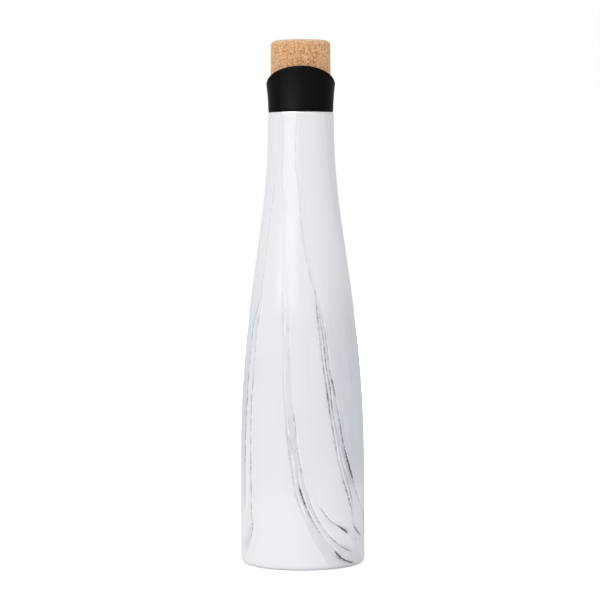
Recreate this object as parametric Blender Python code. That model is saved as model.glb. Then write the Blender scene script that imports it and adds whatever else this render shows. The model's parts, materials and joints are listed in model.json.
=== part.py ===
"""Insulated wine carafe: vacuum vessel, screw-in pour collar and cork-headed stopper.

Metres, +Z up. The origin is the centre of the foot, on the surface that the carafe stands on.
The pouring lip, the high side of the slanted collar, points towards -Y.
Every round piece is an outline of (radius, height) points turned about the Z axis.
"""

import math

import bmesh
import bpy
from mathutils import Vector

# Clearances
FIT = 0.0003                    # between any two pieces that seat on, or fit in, each other

# Vessel
SHEET = 0.0005                  # steel sheet of the shell, the liner and their bases
VACUUM_GAP = 0.0030             # between the shell and the liner
BODY_RADIUS = 0.0390
BODY_STRAIGHT = 0.0610          # height at which the straight wall ends and the shoulder starts
SHOULDER_RISE = 0.2145
SHOULDER_LOWER_PULL = 0.1012    # handle of the S-curve above the straight wall
SHOULDER_UPPER_PULL = 0.0656    # handle of the S-curve below the neck
NECK_RADIUS = 0.0207
NECK_STRAIGHT = 0.0067
FOOT_ROUNDING = 0.0033
FOOT_FLAT = 0.0022              # width of the ring that the carafe stands on
FOOT_HEM = 0.0040               # height of the edge turned up inside the foot

# Bases
COVER_RECESS = 0.0004           # the base cover sits this far above the table
DIMPLE_RADIUS = 0.0090
DIMPLE_DEPTH = 0.0022
DIMPLE_SLOPE = 0.0020           # radial run of the dimple's side
VENT_RADIUS = 0.0015            # evacuation hole
BEAD_RADIUS = 0.0042
BEAD_HEIGHT = 0.0013
LINER_FLOOR = 0.0080            # height of the inner bottom's underside
LINER_CORNER = 0.0045
LINER_SKIRT = 0.0010            # straight edge of the inner bottom, up to its weld
FOIL_SHEET = 0.00015
FOIL_MARGIN = 0.0060            # bare liner between the bottom weld and the foil
GETTER_OFFSET = 0.0160          # distance of the getter from the axis
GETTER_RADIUS = 0.0050
GETTER_THICKNESS = 0.0015
GETTER_FLANGE = 0.0024
CLIP_SHEET = 0.0004

# Pour collar
COLLAR_STEP = 0.0003            # the collar's foot stands in this far from the neck
COLLAR_WALL = 0.0011
COLLAR_FLOOR = 0.0014           # floor above the gasket
COLLAR_CHAMFER_RISE = 0.0012
COLLAR_CHAMFER_RUN = 0.00025
FLARE_RADIUS = 0.1280           # radius of the outward curve of the collar's wall
LIP_HEIGHT = 0.0172             # height of the slanted cut on the axis, above the collar's foot
LIP_SLANT = math.radians(24.4)
GASKET_WIDTH = 0.0018
GASKET_THICKNESS = 0.0010
GASKET_SKIRT = 0.0006           # collar material outside the gasket groove
SLEEVE_WALL = 0.0023
SLEEVE_REACH = 0.0255           # how far the sleeve goes down into the neck
SPIGOT_STEP = 0.0006            # the sleeve's top is this much thinner, and fits the collar's floor

# Stopper
CORK_HEIGHT = 0.0417
CORK_TAPER = 0.00035            # the head is this much slimmer at its top
CORK_ROUNDING = 0.0030
CORK_CHAMFER = 0.0006
STUD_RADIUS = 0.0080
STUD_HEIGHT = 0.0157
PLUG_LENGTH = 0.0240            # core and cap together, below the cork
CORE_WALL = 0.0018              # measured under the grooves
RING_COUNT = 3
RING_PITCH = 0.0062
RING_WIDTH = 0.0022
RING_DEPTH = 0.0016
RING_PROUD = 0.0007             # the rings stand this far out of the plug
TOP_LAND = 0.0040               # plug above the first ring's groove
CAP_THICKNESS = 0.0024
CAP_SPIGOT = 0.0028
CAP_WALL = 0.0015
CAP_ROUNDING = 0.0010

# Facets
SEGMENTS = 48
SMALL_SEGMENTS = 32
CORE_SEGMENTS = 24
TINY_SEGMENTS = 20
SHELL_STEPS = 10
LINER_STEPS = 6
LINER_SEAM_STEP = 3             # the liner's wall is welded to its neck at this step of the shoulder
FOIL_STEPS = 3                  # the foil covers this many of the liner's steps

# Heights and radii that follow from the values above
SHOULDER_TOP = BODY_STRAIGHT + SHOULDER_RISE
NECK_TOP = SHOULDER_TOP + NECK_STRAIGHT
MOUTH = NECK_TOP + FIT + SHEET
LINER_INSET = SHEET + VACUUM_GAP
BORE_INSET = LINER_INSET + SHEET
MOUTH_BORE = NECK_RADIUS - BORE_INSET
HEM_RADIUS = BODY_RADIUS - FOOT_ROUNDING - FOOT_FLAT
DISC_RADIUS = HEM_RADIUS - FIT
LINER_WELD = LINER_FLOOR + LINER_CORNER + LINER_SKIRT
OUTER_BASE_HEIGHT = COVER_RECESS + SHEET + FIT

COLLAR_FOOT = MOUTH + FIT
COLLAR_RADIUS = NECK_RADIUS - COLLAR_STEP
GASKET_OUTER = COLLAR_RADIUS - COLLAR_CHAMFER_RUN - GASKET_SKIRT - FIT
GROOVE_OUTER = GASKET_OUTER + FIT
GASKET_INNER = GASKET_OUTER - GASKET_WIDTH
GROOVE_INNER = GASKET_INNER - FIT
GROOVE_DEPTH = GASKET_THICKNESS + FIT
FLOOR_TOP = GROOVE_DEPTH + COLLAR_FLOOR         # above the collar's foot
SLEEVE_RADIUS = MOUTH_BORE - FIT
SLEEVE_BORE = SLEEVE_RADIUS - SLEEVE_WALL
SPIGOT_RADIUS = SLEEVE_RADIUS - SPIGOT_STEP

STOPPER_SEAT = COLLAR_FOOT + FLOOR_TOP + FIT    # underside of the cork
CORK_RADIUS = COLLAR_RADIUS - COLLAR_WALL - FIT
RING_OUTER = SLEEVE_BORE - FIT
PLUG_RADIUS = RING_OUTER - RING_PROUD
RING_INNER = RING_OUTER - RING_DEPTH
GROOVE_FLOOR = RING_INNER - FIT
CORE_BORE = GROOVE_FLOOR - CORE_WALL
GROOVE_WIDTH = RING_WIDTH + 2 * FIT


def material(name, colour, roughness, metallic=0.0):
    """Make a Principled material."""
    made = bpy.data.materials.new(name)
    made.use_nodes = True
    shader = made.node_tree.nodes["Principled BSDF"]
    shader.inputs["Base Color"].default_value = (*colour, 1.0)
    shader.inputs["Roughness"].default_value = roughness
    shader.inputs["Metallic"].default_value = metallic
    made.diffuse_color = (*colour, 1.0)
    return made


def finished(name, work, finish, parent=None, place=(0.0, 0.0, 0.0)):
    """Turn a bmesh into a named object with smooth round faces and its own material."""
    bmesh.ops.remove_doubles(work, verts=work.verts, dist=1e-7)
    bmesh.ops.recalc_face_normals(work, faces=work.faces)
    mesh = bpy.data.meshes.new(name)
    work.to_mesh(mesh)
    work.free()
    mesh.shade_smooth()
    mesh.set_sharp_from_angle(angle=math.radians(32))
    mesh.materials.append(finish)
    piece = bpy.data.objects.new(name, mesh)
    piece.location = place
    piece.parent = parent
    bpy.context.scene.collection.objects.link(piece)
    return piece


def turned(name, outline, finish, segments=SEGMENTS, parent=None, place=(0.0, 0.0, 0.0)):
    """Turn a closed outline of (radius, height) points about the Z axis."""
    work = bmesh.new()
    corners = [work.verts.new((radius, 0.0, height)) for radius, height in outline]
    edges = [work.edges.new(pair) for pair in zip(corners, corners[1:] + corners[:1])
             if pair[0].co.x > 0.0 or pair[1].co.x > 0.0]
    bmesh.ops.spin(work, geom=corners + edges, cent=(0.0, 0.0, 0.0), axis=(0.0, 0.0, 1.0),
                   angle=math.tau, steps=segments, use_merge=True)
    return finished(name, work, finish, parent, place)


def joint_axis(name, height, parent=None):
    """Place an empty on the carafe's axis to carry a moving group."""
    axis = bpy.data.objects.new(name, None)
    axis.empty_display_size = 0.02
    axis.location = (0.0, 0.0, height)
    axis.parent = parent
    bpy.context.scene.collection.objects.link(axis)
    return axis


def arc(centre, radius, start, end, steps):
    """Points on an arc in the (radius, height) plane, from start to end in degrees."""
    points = []
    for step in range(steps + 1):
        angle = math.radians(start + (end - start) * step / steps)
        points.append((centre[0] + radius * math.cos(angle), centre[1] + radius * math.sin(angle)))
    return points


def shoulder_point(share, inset):
    """A point of the S-curved shoulder, moved in square to the curve by inset.

    The curve is a cubic Bezier that starts and ends straight up. share runs from 0 to 1.
    """
    start = Vector((BODY_RADIUS, BODY_STRAIGHT))
    lower = start + Vector((0.0, SHOULDER_LOWER_PULL))
    end = Vector((NECK_RADIUS, SHOULDER_TOP))
    upper = end - Vector((0.0, SHOULDER_UPPER_PULL))
    rest = 1.0 - share
    point = (rest ** 3 * start + 3 * rest ** 2 * share * lower
             + 3 * rest * share ** 2 * upper + share ** 3 * end)
    along = (rest ** 2 * (lower - start) + 2 * rest * share * (upper - lower)
             + share ** 2 * (end - upper)).normalized()
    inward = Vector((-along.y, along.x))
    return tuple(point + inset * inward)


def shoulder(inset, steps, first=0, last=None):
    """The shoulder's points from the straight wall up, at one distance inside the outer surface.

    steps divide the whole curve. first and last are the steps to start and end at.
    """
    end = steps if last is None else last
    return [shoulder_point(step / steps, inset) for step in range(first, end + 1)]


def outer_shell(finish):
    """The painted body: a sheet from the foot's hem round the foot, up the shoulder to the neck."""
    outside = [(HEM_RADIUS, FOOT_HEM), (HEM_RADIUS, 0.0)]
    outside += arc((BODY_RADIUS - FOOT_ROUNDING, FOOT_ROUNDING), FOOT_ROUNDING, -90, 0, 4)
    outside += shoulder(0.0, SHELL_STEPS) + [(NECK_RADIUS, NECK_TOP)]
    inside = [(HEM_RADIUS + SHEET, FOOT_HEM), (HEM_RADIUS + SHEET, SHEET)]
    inside += arc((BODY_RADIUS - FOOT_ROUNDING, FOOT_ROUNDING), FOOT_ROUNDING - SHEET, -90, 0, 3)
    inside += shoulder(SHEET, SHELL_STEPS) + [(NECK_RADIUS - SHEET, NECK_TOP)]
    return turned("outer_shell", outside + inside[::-1], finish)


def outer_base(finish):
    """The pressed cup that closes the shell, with a dimple round the evacuation hole."""
    low = OUTER_BASE_HEIGHT
    dimple = low + DIMPLE_DEPTH
    neck_in = DIMPLE_RADIUS - DIMPLE_SLOPE
    under = [(DISC_RADIUS, FOOT_HEM), (DISC_RADIUS, low), (DIMPLE_RADIUS, low),
             (neck_in, dimple), (VENT_RADIUS, dimple)]
    over = [(DISC_RADIUS - SHEET, FOOT_HEM), (DISC_RADIUS - SHEET, low + SHEET),
            (DIMPLE_RADIUS, low + SHEET), (neck_in, dimple + SHEET), (VENT_RADIUS, dimple + SHEET)]
    return turned("outer_base", under + over[::-1], finish, SMALL_SEGMENTS)


def evacuation_seal(finish):
    """The bead of glass solder: a low dome under the hole, with a stub that runs up into it."""
    ceiling = OUTER_BASE_HEIGHT + DIMPLE_DEPTH - FIT
    stub = VENT_RADIUS - FIT
    outline = [(0.0, ceiling - BEAD_HEIGHT), (0.6 * BEAD_RADIUS, ceiling - 0.8 * BEAD_HEIGHT),
               (BEAD_RADIUS, ceiling - 0.2 * BEAD_HEIGHT), (0.94 * BEAD_RADIUS, ceiling),
               (stub, ceiling), (stub, ceiling + FIT + SHEET), (0.0, ceiling + FIT + SHEET)]
    return turned("evacuation_seal", outline, finish, TINY_SEGMENTS)


def base_cover(finish):
    """The plain disc over the seal, with a softened lower edge."""
    low = COVER_RECESS
    soft = 0.5 * SHEET
    outline = [(0.0, low), (DISC_RADIUS - soft, low), (DISC_RADIUS, low + soft),
               (DISC_RADIUS, low + SHEET), (0.0, low + SHEET)]
    return turned("base_cover", outline, finish)


def liner_wall(finish):
    """The inner bottle's wall: parallel to the shell inside the vacuum, up to the weld in the shoulder."""
    outside = [(BODY_RADIUS - LINER_INSET, LINER_WELD + FIT)]
    outside += shoulder(LINER_INSET, LINER_STEPS, last=LINER_SEAM_STEP)
    inside = [(BODY_RADIUS - BORE_INSET, LINER_WELD + FIT)]
    inside += shoulder(BORE_INSET, LINER_STEPS, last=LINER_SEAM_STEP)
    return turned("liner_wall", outside + inside[::-1], finish)


def liner_neck(finish):
    """The inner bottle's neck: from the weld in the shoulder up to a lip turned out over the shell."""
    bulge = 0.5 * SHEET
    outside = shoulder(LINER_INSET, LINER_STEPS, first=LINER_SEAM_STEP)
    outside += [(NECK_RADIUS - LINER_INSET, MOUTH - SHEET)]
    lip = [(NECK_RADIUS - bulge, MOUTH - SHEET), (NECK_RADIUS, MOUTH - bulge), (NECK_RADIUS - bulge, MOUTH)]
    inside = shoulder(BORE_INSET, LINER_STEPS, first=LINER_SEAM_STEP) + [(MOUTH_BORE, MOUTH)]
    for wall in (outside, inside):
        radius, height = wall[0]
        wall[0] = (radius, height + FIT)
    return turned("liner_neck", outside + lip + inside[::-1], finish)


def liner_base(finish):
    """The inner bottom: a shallow cup with a round corner, welded edge to edge to the liner's wall."""
    corner = (BODY_RADIUS - LINER_INSET - LINER_CORNER, LINER_FLOOR + LINER_CORNER)
    under = [(0.0, LINER_FLOOR)] + arc(corner, LINER_CORNER, -90, 0, 3)
    under += [(BODY_RADIUS - LINER_INSET, LINER_WELD)]
    over = [(0.0, LINER_FLOOR + SHEET)] + arc(corner, LINER_CORNER - SHEET, -90, 0, 3)
    over += [(BODY_RADIUS - BORE_INSET, LINER_WELD)]
    return turned("liner_base", under + over[::-1], finish)


def foil_wrap(finish):
    """The copper foil, wrapped round the liner from above its weld to part of the way up the shoulder."""
    inner = LINER_INSET - FIT
    outer = inner - FOIL_SHEET
    start = LINER_WELD + FOIL_MARGIN
    near = [(BODY_RADIUS - inner, start)] + shoulder(inner, LINER_STEPS, last=FOIL_STEPS)
    far = [(BODY_RADIUS - outer, start)] + shoulder(outer, LINER_STEPS, last=FOIL_STEPS)
    return turned("foil_wrap", far + near[::-1], finish)


def getter_clip(finish):
    """The tray under the inner bottom: a flange for its spot welds and a well for the pellet."""
    top = LINER_FLOOR - FIT
    well = GETTER_RADIUS + FIT
    floor = top - CLIP_SHEET - GETTER_THICKNESS - 2 * FIT
    outline = [(0.0, floor), (well + CLIP_SHEET, floor), (well + CLIP_SHEET, top - CLIP_SHEET),
               (well + GETTER_FLANGE, top - CLIP_SHEET), (well + GETTER_FLANGE, top), (well, top),
               (well, floor + CLIP_SHEET), (0.0, floor + CLIP_SHEET)]
    return turned("getter_clip", outline, finish, TINY_SEGMENTS, place=(GETTER_OFFSET, 0.0, 0.0))


def getter_pellet(finish):
    """The gas-absorbing tablet, with chamfered edges."""
    low = LINER_FLOOR - GETTER_THICKNESS - 2 * FIT
    soft = 0.2 * GETTER_THICKNESS
    outline = [(0.0, low), (GETTER_RADIUS - soft, low), (GETTER_RADIUS, low + soft),
               (GETTER_RADIUS, low + GETTER_THICKNESS - soft),
               (GETTER_RADIUS - soft, low + GETTER_THICKNESS), (0.0, low + GETTER_THICKNESS)]
    return turned("getter_pellet", outline, finish, TINY_SEGMENTS, place=(GETTER_OFFSET, 0.0, 0.0))


def collar_gasket(finish, axis):
    """The silicone washer in the groove under the collar. Heights are above the collar's foot."""
    outline = [(GASKET_INNER, 0.0), (GASKET_OUTER, 0.0),
               (GASKET_OUTER, GASKET_THICKNESS), (GASKET_INNER, GASKET_THICKNESS)]
    return turned("collar_gasket", outline, finish, SMALL_SEGMENTS, axis)


def flare(height):
    """Outer radius of the collar: upright at its foot, then on a circle that leans outwards."""
    return COLLAR_RADIUS + FLARE_RADIUS - math.sqrt(FLARE_RADIUS ** 2 - height ** 2)


def lip_height(angle):
    """Height of the lip at an angle from the front: where the flared wall meets the slanted plane."""
    height = LIP_HEIGHT
    for _ in range(12):
        height = LIP_HEIGHT + math.tan(LIP_SLANT) * flare(height) * math.cos(angle)
    return height


def collar_section(angle):
    """The collar's closed outline at one angle: skirt, flared wall, round lip, inside wall, floor, groove."""
    half = 0.5 * COLLAR_WALL
    crest = lip_height(angle) - half
    start = COLLAR_CHAMFER_RISE
    outside = [(COLLAR_RADIUS - COLLAR_CHAMFER_RUN, 0.0), (flare(start), start)]
    outside += [(flare(h), h) for h in (start + (crest - start) * level for level in (0.3, 0.55, 0.8))]
    lip = arc((flare(crest) - half, crest), half, 0, 180, 4)
    inside = [(flare(h) - COLLAR_WALL, h)
              for h in (crest - (crest - FLOOR_TOP) * level for level in (0.3, 0.65))]
    floor = [(flare(FLOOR_TOP) - COLLAR_WALL, FLOOR_TOP), (SPIGOT_RADIUS + FIT, FLOOR_TOP),
             (SPIGOT_RADIUS + FIT, 0.0), (GROOVE_INNER, 0.0), (GROOVE_INNER, GROOVE_DEPTH),
             (GROOVE_OUTER, GROOVE_DEPTH), (GROOVE_OUTER, 0.0)]
    return outside + lip + inside + floor


def pour_collar(finish, axis):
    """The pour collar: sections lofted round the axis, each as tall as the slanted lip is there."""
    work = bmesh.new()
    rings = []
    for step in range(SEGMENTS):
        angle = math.tau * step / SEGMENTS
        away = Vector((math.sin(angle), -math.cos(angle), 0.0))
        rings.append([work.verts.new(radius * away + Vector((0.0, 0.0, height)))
                      for radius, height in collar_section(angle)])
    for ring, following in zip(rings, rings[1:] + rings[:1]):
        for low in range(len(ring)):
            high = (low + 1) % len(ring)
            work.faces.new((ring[low], following[low], following[high], ring[high]))
    return finished("pour_collar", work, finish, axis)


def collar_sleeve(finish, axis):
    """The threaded insert: it lines the neck, and its thinner top fits the hole in the collar's floor."""
    soft = 0.25 * SLEEVE_WALL
    outline = [(SLEEVE_RADIUS - soft, -SLEEVE_REACH), (SLEEVE_RADIUS, soft - SLEEVE_REACH),
               (SLEEVE_RADIUS, -FIT), (SPIGOT_RADIUS, -FIT), (SPIGOT_RADIUS, FLOOR_TOP),
               (SLEEVE_BORE + soft, FLOOR_TOP), (SLEEVE_BORE, FLOOR_TOP - soft),
               (SLEEVE_BORE, soft - SLEEVE_REACH), (SLEEVE_BORE + soft, -SLEEVE_REACH)]
    return turned("collar_sleeve", outline, finish, CORE_SEGMENTS, axis)


def cork_head(finish, axis):
    """The cork: a slightly tapered cylinder, rounded on top, with a blind hole for the core's stud."""
    top = CORK_RADIUS - CORK_TAPER
    hole = STUD_RADIUS + FIT
    outline = [(hole, 0.0), (CORK_RADIUS - CORK_CHAMFER, 0.0), (CORK_RADIUS, CORK_CHAMFER)]
    outline += arc((top - CORK_ROUNDING, CORK_HEIGHT - CORK_ROUNDING), CORK_ROUNDING, 0, 90, 4)
    outline += [(0.0, CORK_HEIGHT), (0.0, STUD_HEIGHT), (hole, STUD_HEIGHT)]
    return turned("cork_head", outline, finish, SEGMENTS, axis)


def ring_heights():
    """Heights of the seal rings' middles, below the cork's underside."""
    first = -(FIT + TOP_LAND + 0.5 * GROOVE_WIDTH)
    return [first - RING_PITCH * index for index in range(RING_COUNT)]


def stopper_core(finish, axis):
    """The moulded plug: a hollow, grooved barrel whose hollow stud goes up into the cork."""
    half = 0.5 * GROOVE_WIDTH
    bottom = CAP_THICKNESS + FIT - PLUG_LENGTH
    stud_bore = STUD_RADIUS - CORE_WALL
    ceiling = -FIT - CORE_WALL
    outline = [(0.0, STUD_HEIGHT - FIT), (STUD_RADIUS, STUD_HEIGHT - FIT), (STUD_RADIUS, -FIT),
               (PLUG_RADIUS, -FIT)]
    for middle in ring_heights():
        outline += [(PLUG_RADIUS, middle + half), (GROOVE_FLOOR, middle + half),
                    (GROOVE_FLOOR, middle - half), (PLUG_RADIUS, middle - half)]
    outline += [(PLUG_RADIUS, bottom), (CORE_BORE, bottom), (CORE_BORE, ceiling), (stud_bore, ceiling),
                (stud_bore, STUD_HEIGHT - FIT - CORE_WALL), (0.0, STUD_HEIGHT - FIT - CORE_WALL)]
    return turned("stopper_core", outline, finish, CORE_SEGMENTS, axis)


def seal_ring(index, middle, finish, axis):
    """One silicone ring: square in its groove, with a rounded crest towards the sleeve."""
    half = 0.5 * RING_WIDTH
    crest = [(RING_OUTER - RING_PROUD, middle - half), (RING_OUTER, middle - 0.35 * half),
             (RING_OUTER, middle + 0.35 * half), (RING_OUTER - RING_PROUD, middle + half)]
    outline = [(RING_INNER, middle - half)] + crest + [(RING_INNER, middle + half)]
    return turned(f"seal_ring_{index}", outline, finish, CORE_SEGMENTS, axis)


def stopper_cap(finish, axis):
    """The cap under the core: a disc with a rounded edge and a hollow spigot inside the core."""
    low = -PLUG_LENGTH
    seat = low + CAP_THICKNESS
    spigot = CORE_BORE - FIT
    outline = [(0.0, low)] + arc((PLUG_RADIUS - CAP_ROUNDING, low + CAP_ROUNDING), CAP_ROUNDING, -90, 0, 3)
    outline += [(PLUG_RADIUS, seat), (spigot, seat), (spigot, seat + CAP_SPIGOT),
                (spigot - CAP_WALL, seat + CAP_SPIGOT), (spigot - CAP_WALL, seat), (0.0, seat)]
    return turned("stopper_cap", outline, finish, CORE_SEGMENTS, axis)


def vessel():
    """The welded vacuum bottle."""
    paint = material("marble_paint", (0.87, 0.88, 0.89), 0.22)
    steel = material("brushed_steel", (0.62, 0.62, 0.61), 0.30, 1.0)
    copper = material("copper_foil", (0.80, 0.45, 0.30), 0.25, 1.0)
    glass = material("solder_glass", (0.16, 0.17, 0.16), 0.15)
    getter = material("getter_alloy", (0.25, 0.25, 0.26), 0.70)
    outer_shell(paint)
    outer_base(steel)
    evacuation_seal(glass)
    base_cover(steel)
    liner_wall(steel)
    liner_neck(steel)
    liner_base(steel)
    foil_wrap(copper)
    getter_clip(steel)
    getter_pellet(getter)


def collar():
    """The pour collar, which unscrews about the carafe's axis. Returns its axis."""
    axis = joint_axis("collar_axis", COLLAR_FOOT)
    silicone = material("clear_silicone", (0.78, 0.78, 0.76), 0.45)
    black = material("satin_black_plastic", (0.012, 0.012, 0.013), 0.42)
    insert = material("black_insert_plastic", (0.020, 0.020, 0.021), 0.50)
    collar_gasket(silicone, axis)
    pour_collar(black, axis)
    collar_sleeve(insert, axis)
    return axis


def stopper(collar_axis):
    """The stopper, which pulls straight up out of the collar."""
    axis = joint_axis("stopper_axis", STOPPER_SEAT - COLLAR_FOOT, collar_axis)
    cork = material("agglomerated_cork", (0.66, 0.42, 0.22), 0.85)
    plastic = material("black_core_plastic", (0.020, 0.020, 0.021), 0.45)
    silicone = material("stopper_silicone", (0.78, 0.78, 0.76), 0.45)
    cork_head(cork, axis)
    stopper_core(plastic, axis)
    for index, middle in enumerate(ring_heights(), start=1):
        seal_ring(index, middle, silicone, axis)
    stopper_cap(plastic, axis)


def main():
    """Clear the scene and build the carafe."""
    for old in list(bpy.data.objects):
        bpy.data.objects.remove(old)
    vessel()
    stopper(collar())


main()
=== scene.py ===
"""Looks of an insulated wine carafe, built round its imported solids.

Every piece is a surface of two parameters: the angle round the carafe's axis, and the way along an
outline of (radius, height) points. Lengths are metres, or millimetres where a name says so, and +Z
is up. Angle 0 is the front, -Y, which the high side of the pouring lip faces. Angles grow towards +X.
"""

import json
import logging
import math
from dataclasses import dataclass, field
from enum import Enum, IntEnum
from typing import Sequence

import bpy
import numpy as np
from mathutils import Matrix, Vector


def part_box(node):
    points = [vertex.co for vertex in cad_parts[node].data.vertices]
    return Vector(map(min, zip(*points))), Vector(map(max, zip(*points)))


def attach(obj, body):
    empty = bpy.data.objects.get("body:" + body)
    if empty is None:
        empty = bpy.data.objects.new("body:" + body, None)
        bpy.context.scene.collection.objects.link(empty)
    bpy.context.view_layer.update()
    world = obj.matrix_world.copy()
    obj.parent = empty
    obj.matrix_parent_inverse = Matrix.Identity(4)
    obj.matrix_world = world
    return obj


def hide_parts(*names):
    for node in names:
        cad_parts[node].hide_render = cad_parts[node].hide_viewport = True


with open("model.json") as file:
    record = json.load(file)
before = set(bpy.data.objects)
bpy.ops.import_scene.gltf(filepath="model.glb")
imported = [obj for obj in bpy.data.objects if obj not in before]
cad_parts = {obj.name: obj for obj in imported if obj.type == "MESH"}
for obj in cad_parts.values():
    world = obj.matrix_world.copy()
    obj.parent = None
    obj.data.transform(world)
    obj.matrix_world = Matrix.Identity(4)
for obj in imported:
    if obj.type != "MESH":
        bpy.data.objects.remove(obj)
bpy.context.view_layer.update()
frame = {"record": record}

LOG = logging.getLogger("carafe")

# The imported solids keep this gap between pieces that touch
FIT = 0.0003

# Thickness of the vessel's steel
SHEET = 0.0005

# Roundings of edges, from a cut edge of sheet to a pressed one
CRISP = 0.0001
FINE = 0.0002
BROKEN = 0.0003
FOLD = 0.0004
MOULDED = 0.0005
SOFT = 0.0006
PRESSED = 0.0008

# Where the surface turns by more than this, an edge shows
SHARP_EDGE = math.radians(40)

# A round at a corner takes at most this share of each side
SIDE_SHARE = 0.49

# Added to lengths that may be zero before they divide
TINY = 1e-12

# Numbers of the plug's rings, from the highest
RINGS = (1, 2, 3)

MM = 0.001
WHITE = (1.0, 1.0, 1.0)

Point = tuple[float, float]
Corner = tuple[float, float, float]
Colour = tuple[float, float, float]
Array = np.ndarray
Piece = bpy.types.Object
Material = bpy.types.Material
Socket = bpy.types.NodeSocket
Feed = Socket | float | Sequence[float]


# Curves and outlines


def polar(radius: Array, angle: Array, height: Array) -> Array:
    """Turn round coordinates into places: (radius * sin(angle), -radius * cos(angle), height).

    Args:
        radius: distance from the axis.
        angle: angle from the front, in radians.
        height: height above the table.

    Returns:
        Points, with one more dimension than the inputs.
    """
    radius, angle, height = np.broadcast_arrays(radius, angle, height)
    return np.stack((radius * np.sin(angle), -radius * np.cos(angle), height), axis=-1)


def angles_round(count: int) -> Array:
    """Even angles from the back round by the left, as a column."""
    return (-math.pi + math.tau * np.arange(count) / count)[:, None]


def smooth_through(where: Array, knots: Array, values: Array) -> Array:
    """Read smooth curves that pass through given values and never overshoot them.

    Each column is a curve of its own. A stretch of width w between two knots is the cubic
    (2s3 - 3s2 + 1) a + (s3 - 2s2 + s) w p + (3s2 - 2s3) b + (s3 - s2) w q, where s is the share of
    the stretch, a and b are the values at its ends, and p and q are the slopes there. The slope at a
    knot is the harmonic mean of the slopes of its two stretches, or zero where they differ in sign.

    Args:
        where: places to read, (places, columns). Past the knots the end values hold.
        knots: rising places of the given values, (knots, columns).
        values: the value at each knot, (knots, columns).

    Returns:
        The value at each place, (places, columns).
    """
    width = np.diff(knots, axis=0)
    chord = np.diff(values, axis=0) / width
    agree = chord[:-1] * chord[1:] > 0
    total = np.where(agree, chord[:-1] + chord[1:], 1.0)
    middle = np.where(agree, 2 * chord[:-1] * chord[1:] / total, 0.0)
    slope = np.concatenate((chord[:1], middle, chord[-1:]))
    inside = np.clip(where, knots[:1], knots[-1:])
    index = np.clip((knots[:, None] <= inside[None]).sum(axis=0) - 1, 0, len(width) - 1)
    begin, before, run = (np.take_along_axis(of, index, axis=0) for of in (knots, values, width))
    after, leave, arrive = (np.take_along_axis(of, index + step, axis=0)
                            for of, step in ((values, 1), (slope, 0), (slope, 1)))
    share = (inside - begin) / run
    square, cube = share ** 2, share ** 3
    return ((2 * cube - 3 * square + 1) * before + (cube - 2 * square + share) * leave * run
            + (3 * square - 2 * cube) * after + (cube - square) * arrive * run)


def eased(value: Array, low: float, high: float) -> Array:
    """Ease from 0 at low to 1 at high: 3t2 - 2t3 of the clipped share t."""
    share = np.clip((value - low) / (high - low), 0.0, 1.0)
    return share * share * (3 - 2 * share)


def arc(centre: Point, radius: float, start: float, end: float, steps: int) -> Array:
    """Points centre + radius * (cos a, sin a), with a even from start to end in degrees."""
    angle = np.radians(np.linspace(start, end, steps + 1))
    return np.column_stack((centre[0] + radius * np.cos(angle), centre[1] + radius * np.sin(angle)))


def sharp(points: Array) -> list[Corner]:
    """Corners without rounding, at given points."""
    return [(float(radius), float(height), 0.0) for radius, height in points]


def rounded(corners: Sequence[Corner], spacing: float, steps: int) -> Array:
    """Round the corners of an outline and divide its long straight runs.

    A corner is (radius, height, rounding). Its round leaves both sides at rounding / tan(half the
    corner's angle), or sooner on a short side, and the round's centre is on the corner's bisector.
    An outline that starts on the axis also ends there. Any other is a loop.

    Args:
        corners: the outline's corners in order.
        spacing: the longest run that isn't divided.
        steps: runs on each round.

    Returns:
        (radius, height) points.
    """
    places = np.array([corner[:2] for corner in corners])
    loop = corners[0][0] > 0.0
    pieces = []
    for index, (_, _, rounding) in enumerate(corners):
        here = places[index]
        if rounding <= 0.0:
            pieces.append(here[None])
            continue
        back, ahead = places[index - 1] - here, places[(index + 1) % len(corners)] - here
        room = SIDE_SHARE * min(np.linalg.norm(back), np.linalg.norm(ahead))
        back, ahead = back / np.linalg.norm(back), ahead / np.linalg.norm(ahead)
        half = 0.5 * math.acos(float(np.clip(back @ ahead, -1.0, 1.0)))
        reach = min(rounding / math.tan(half), room)
        bisector = (back + ahead) / np.linalg.norm(back + ahead)
        centre = here + bisector * reach / math.cos(half)
        leave, arrive = here + back * reach - centre, here + ahead * reach - centre
        start = math.degrees(math.atan2(leave[1], leave[0]))
        turn = (math.degrees(math.atan2(arrive[1], arrive[0])) - start + 180.0) % 360.0 - 180.0
        pieces.append(arc(tuple(centre), reach * math.tan(half), start, start + turn, steps))
    outline = np.concatenate(pieces)
    ends = np.roll(outline, -1, axis=0) if loop else outline[1:]
    starts = outline if loop else outline[:-1]
    counts = np.maximum(1, np.ceil(np.linalg.norm(ends - starts, axis=1) / spacing)).astype(int)
    runs = [a + (b - a) * np.arange(n)[:, None] / n for a, b, n in zip(starts, ends, counts)]
    return np.concatenate(runs if loop else runs + [outline[-1:]])


# Meshes


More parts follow.
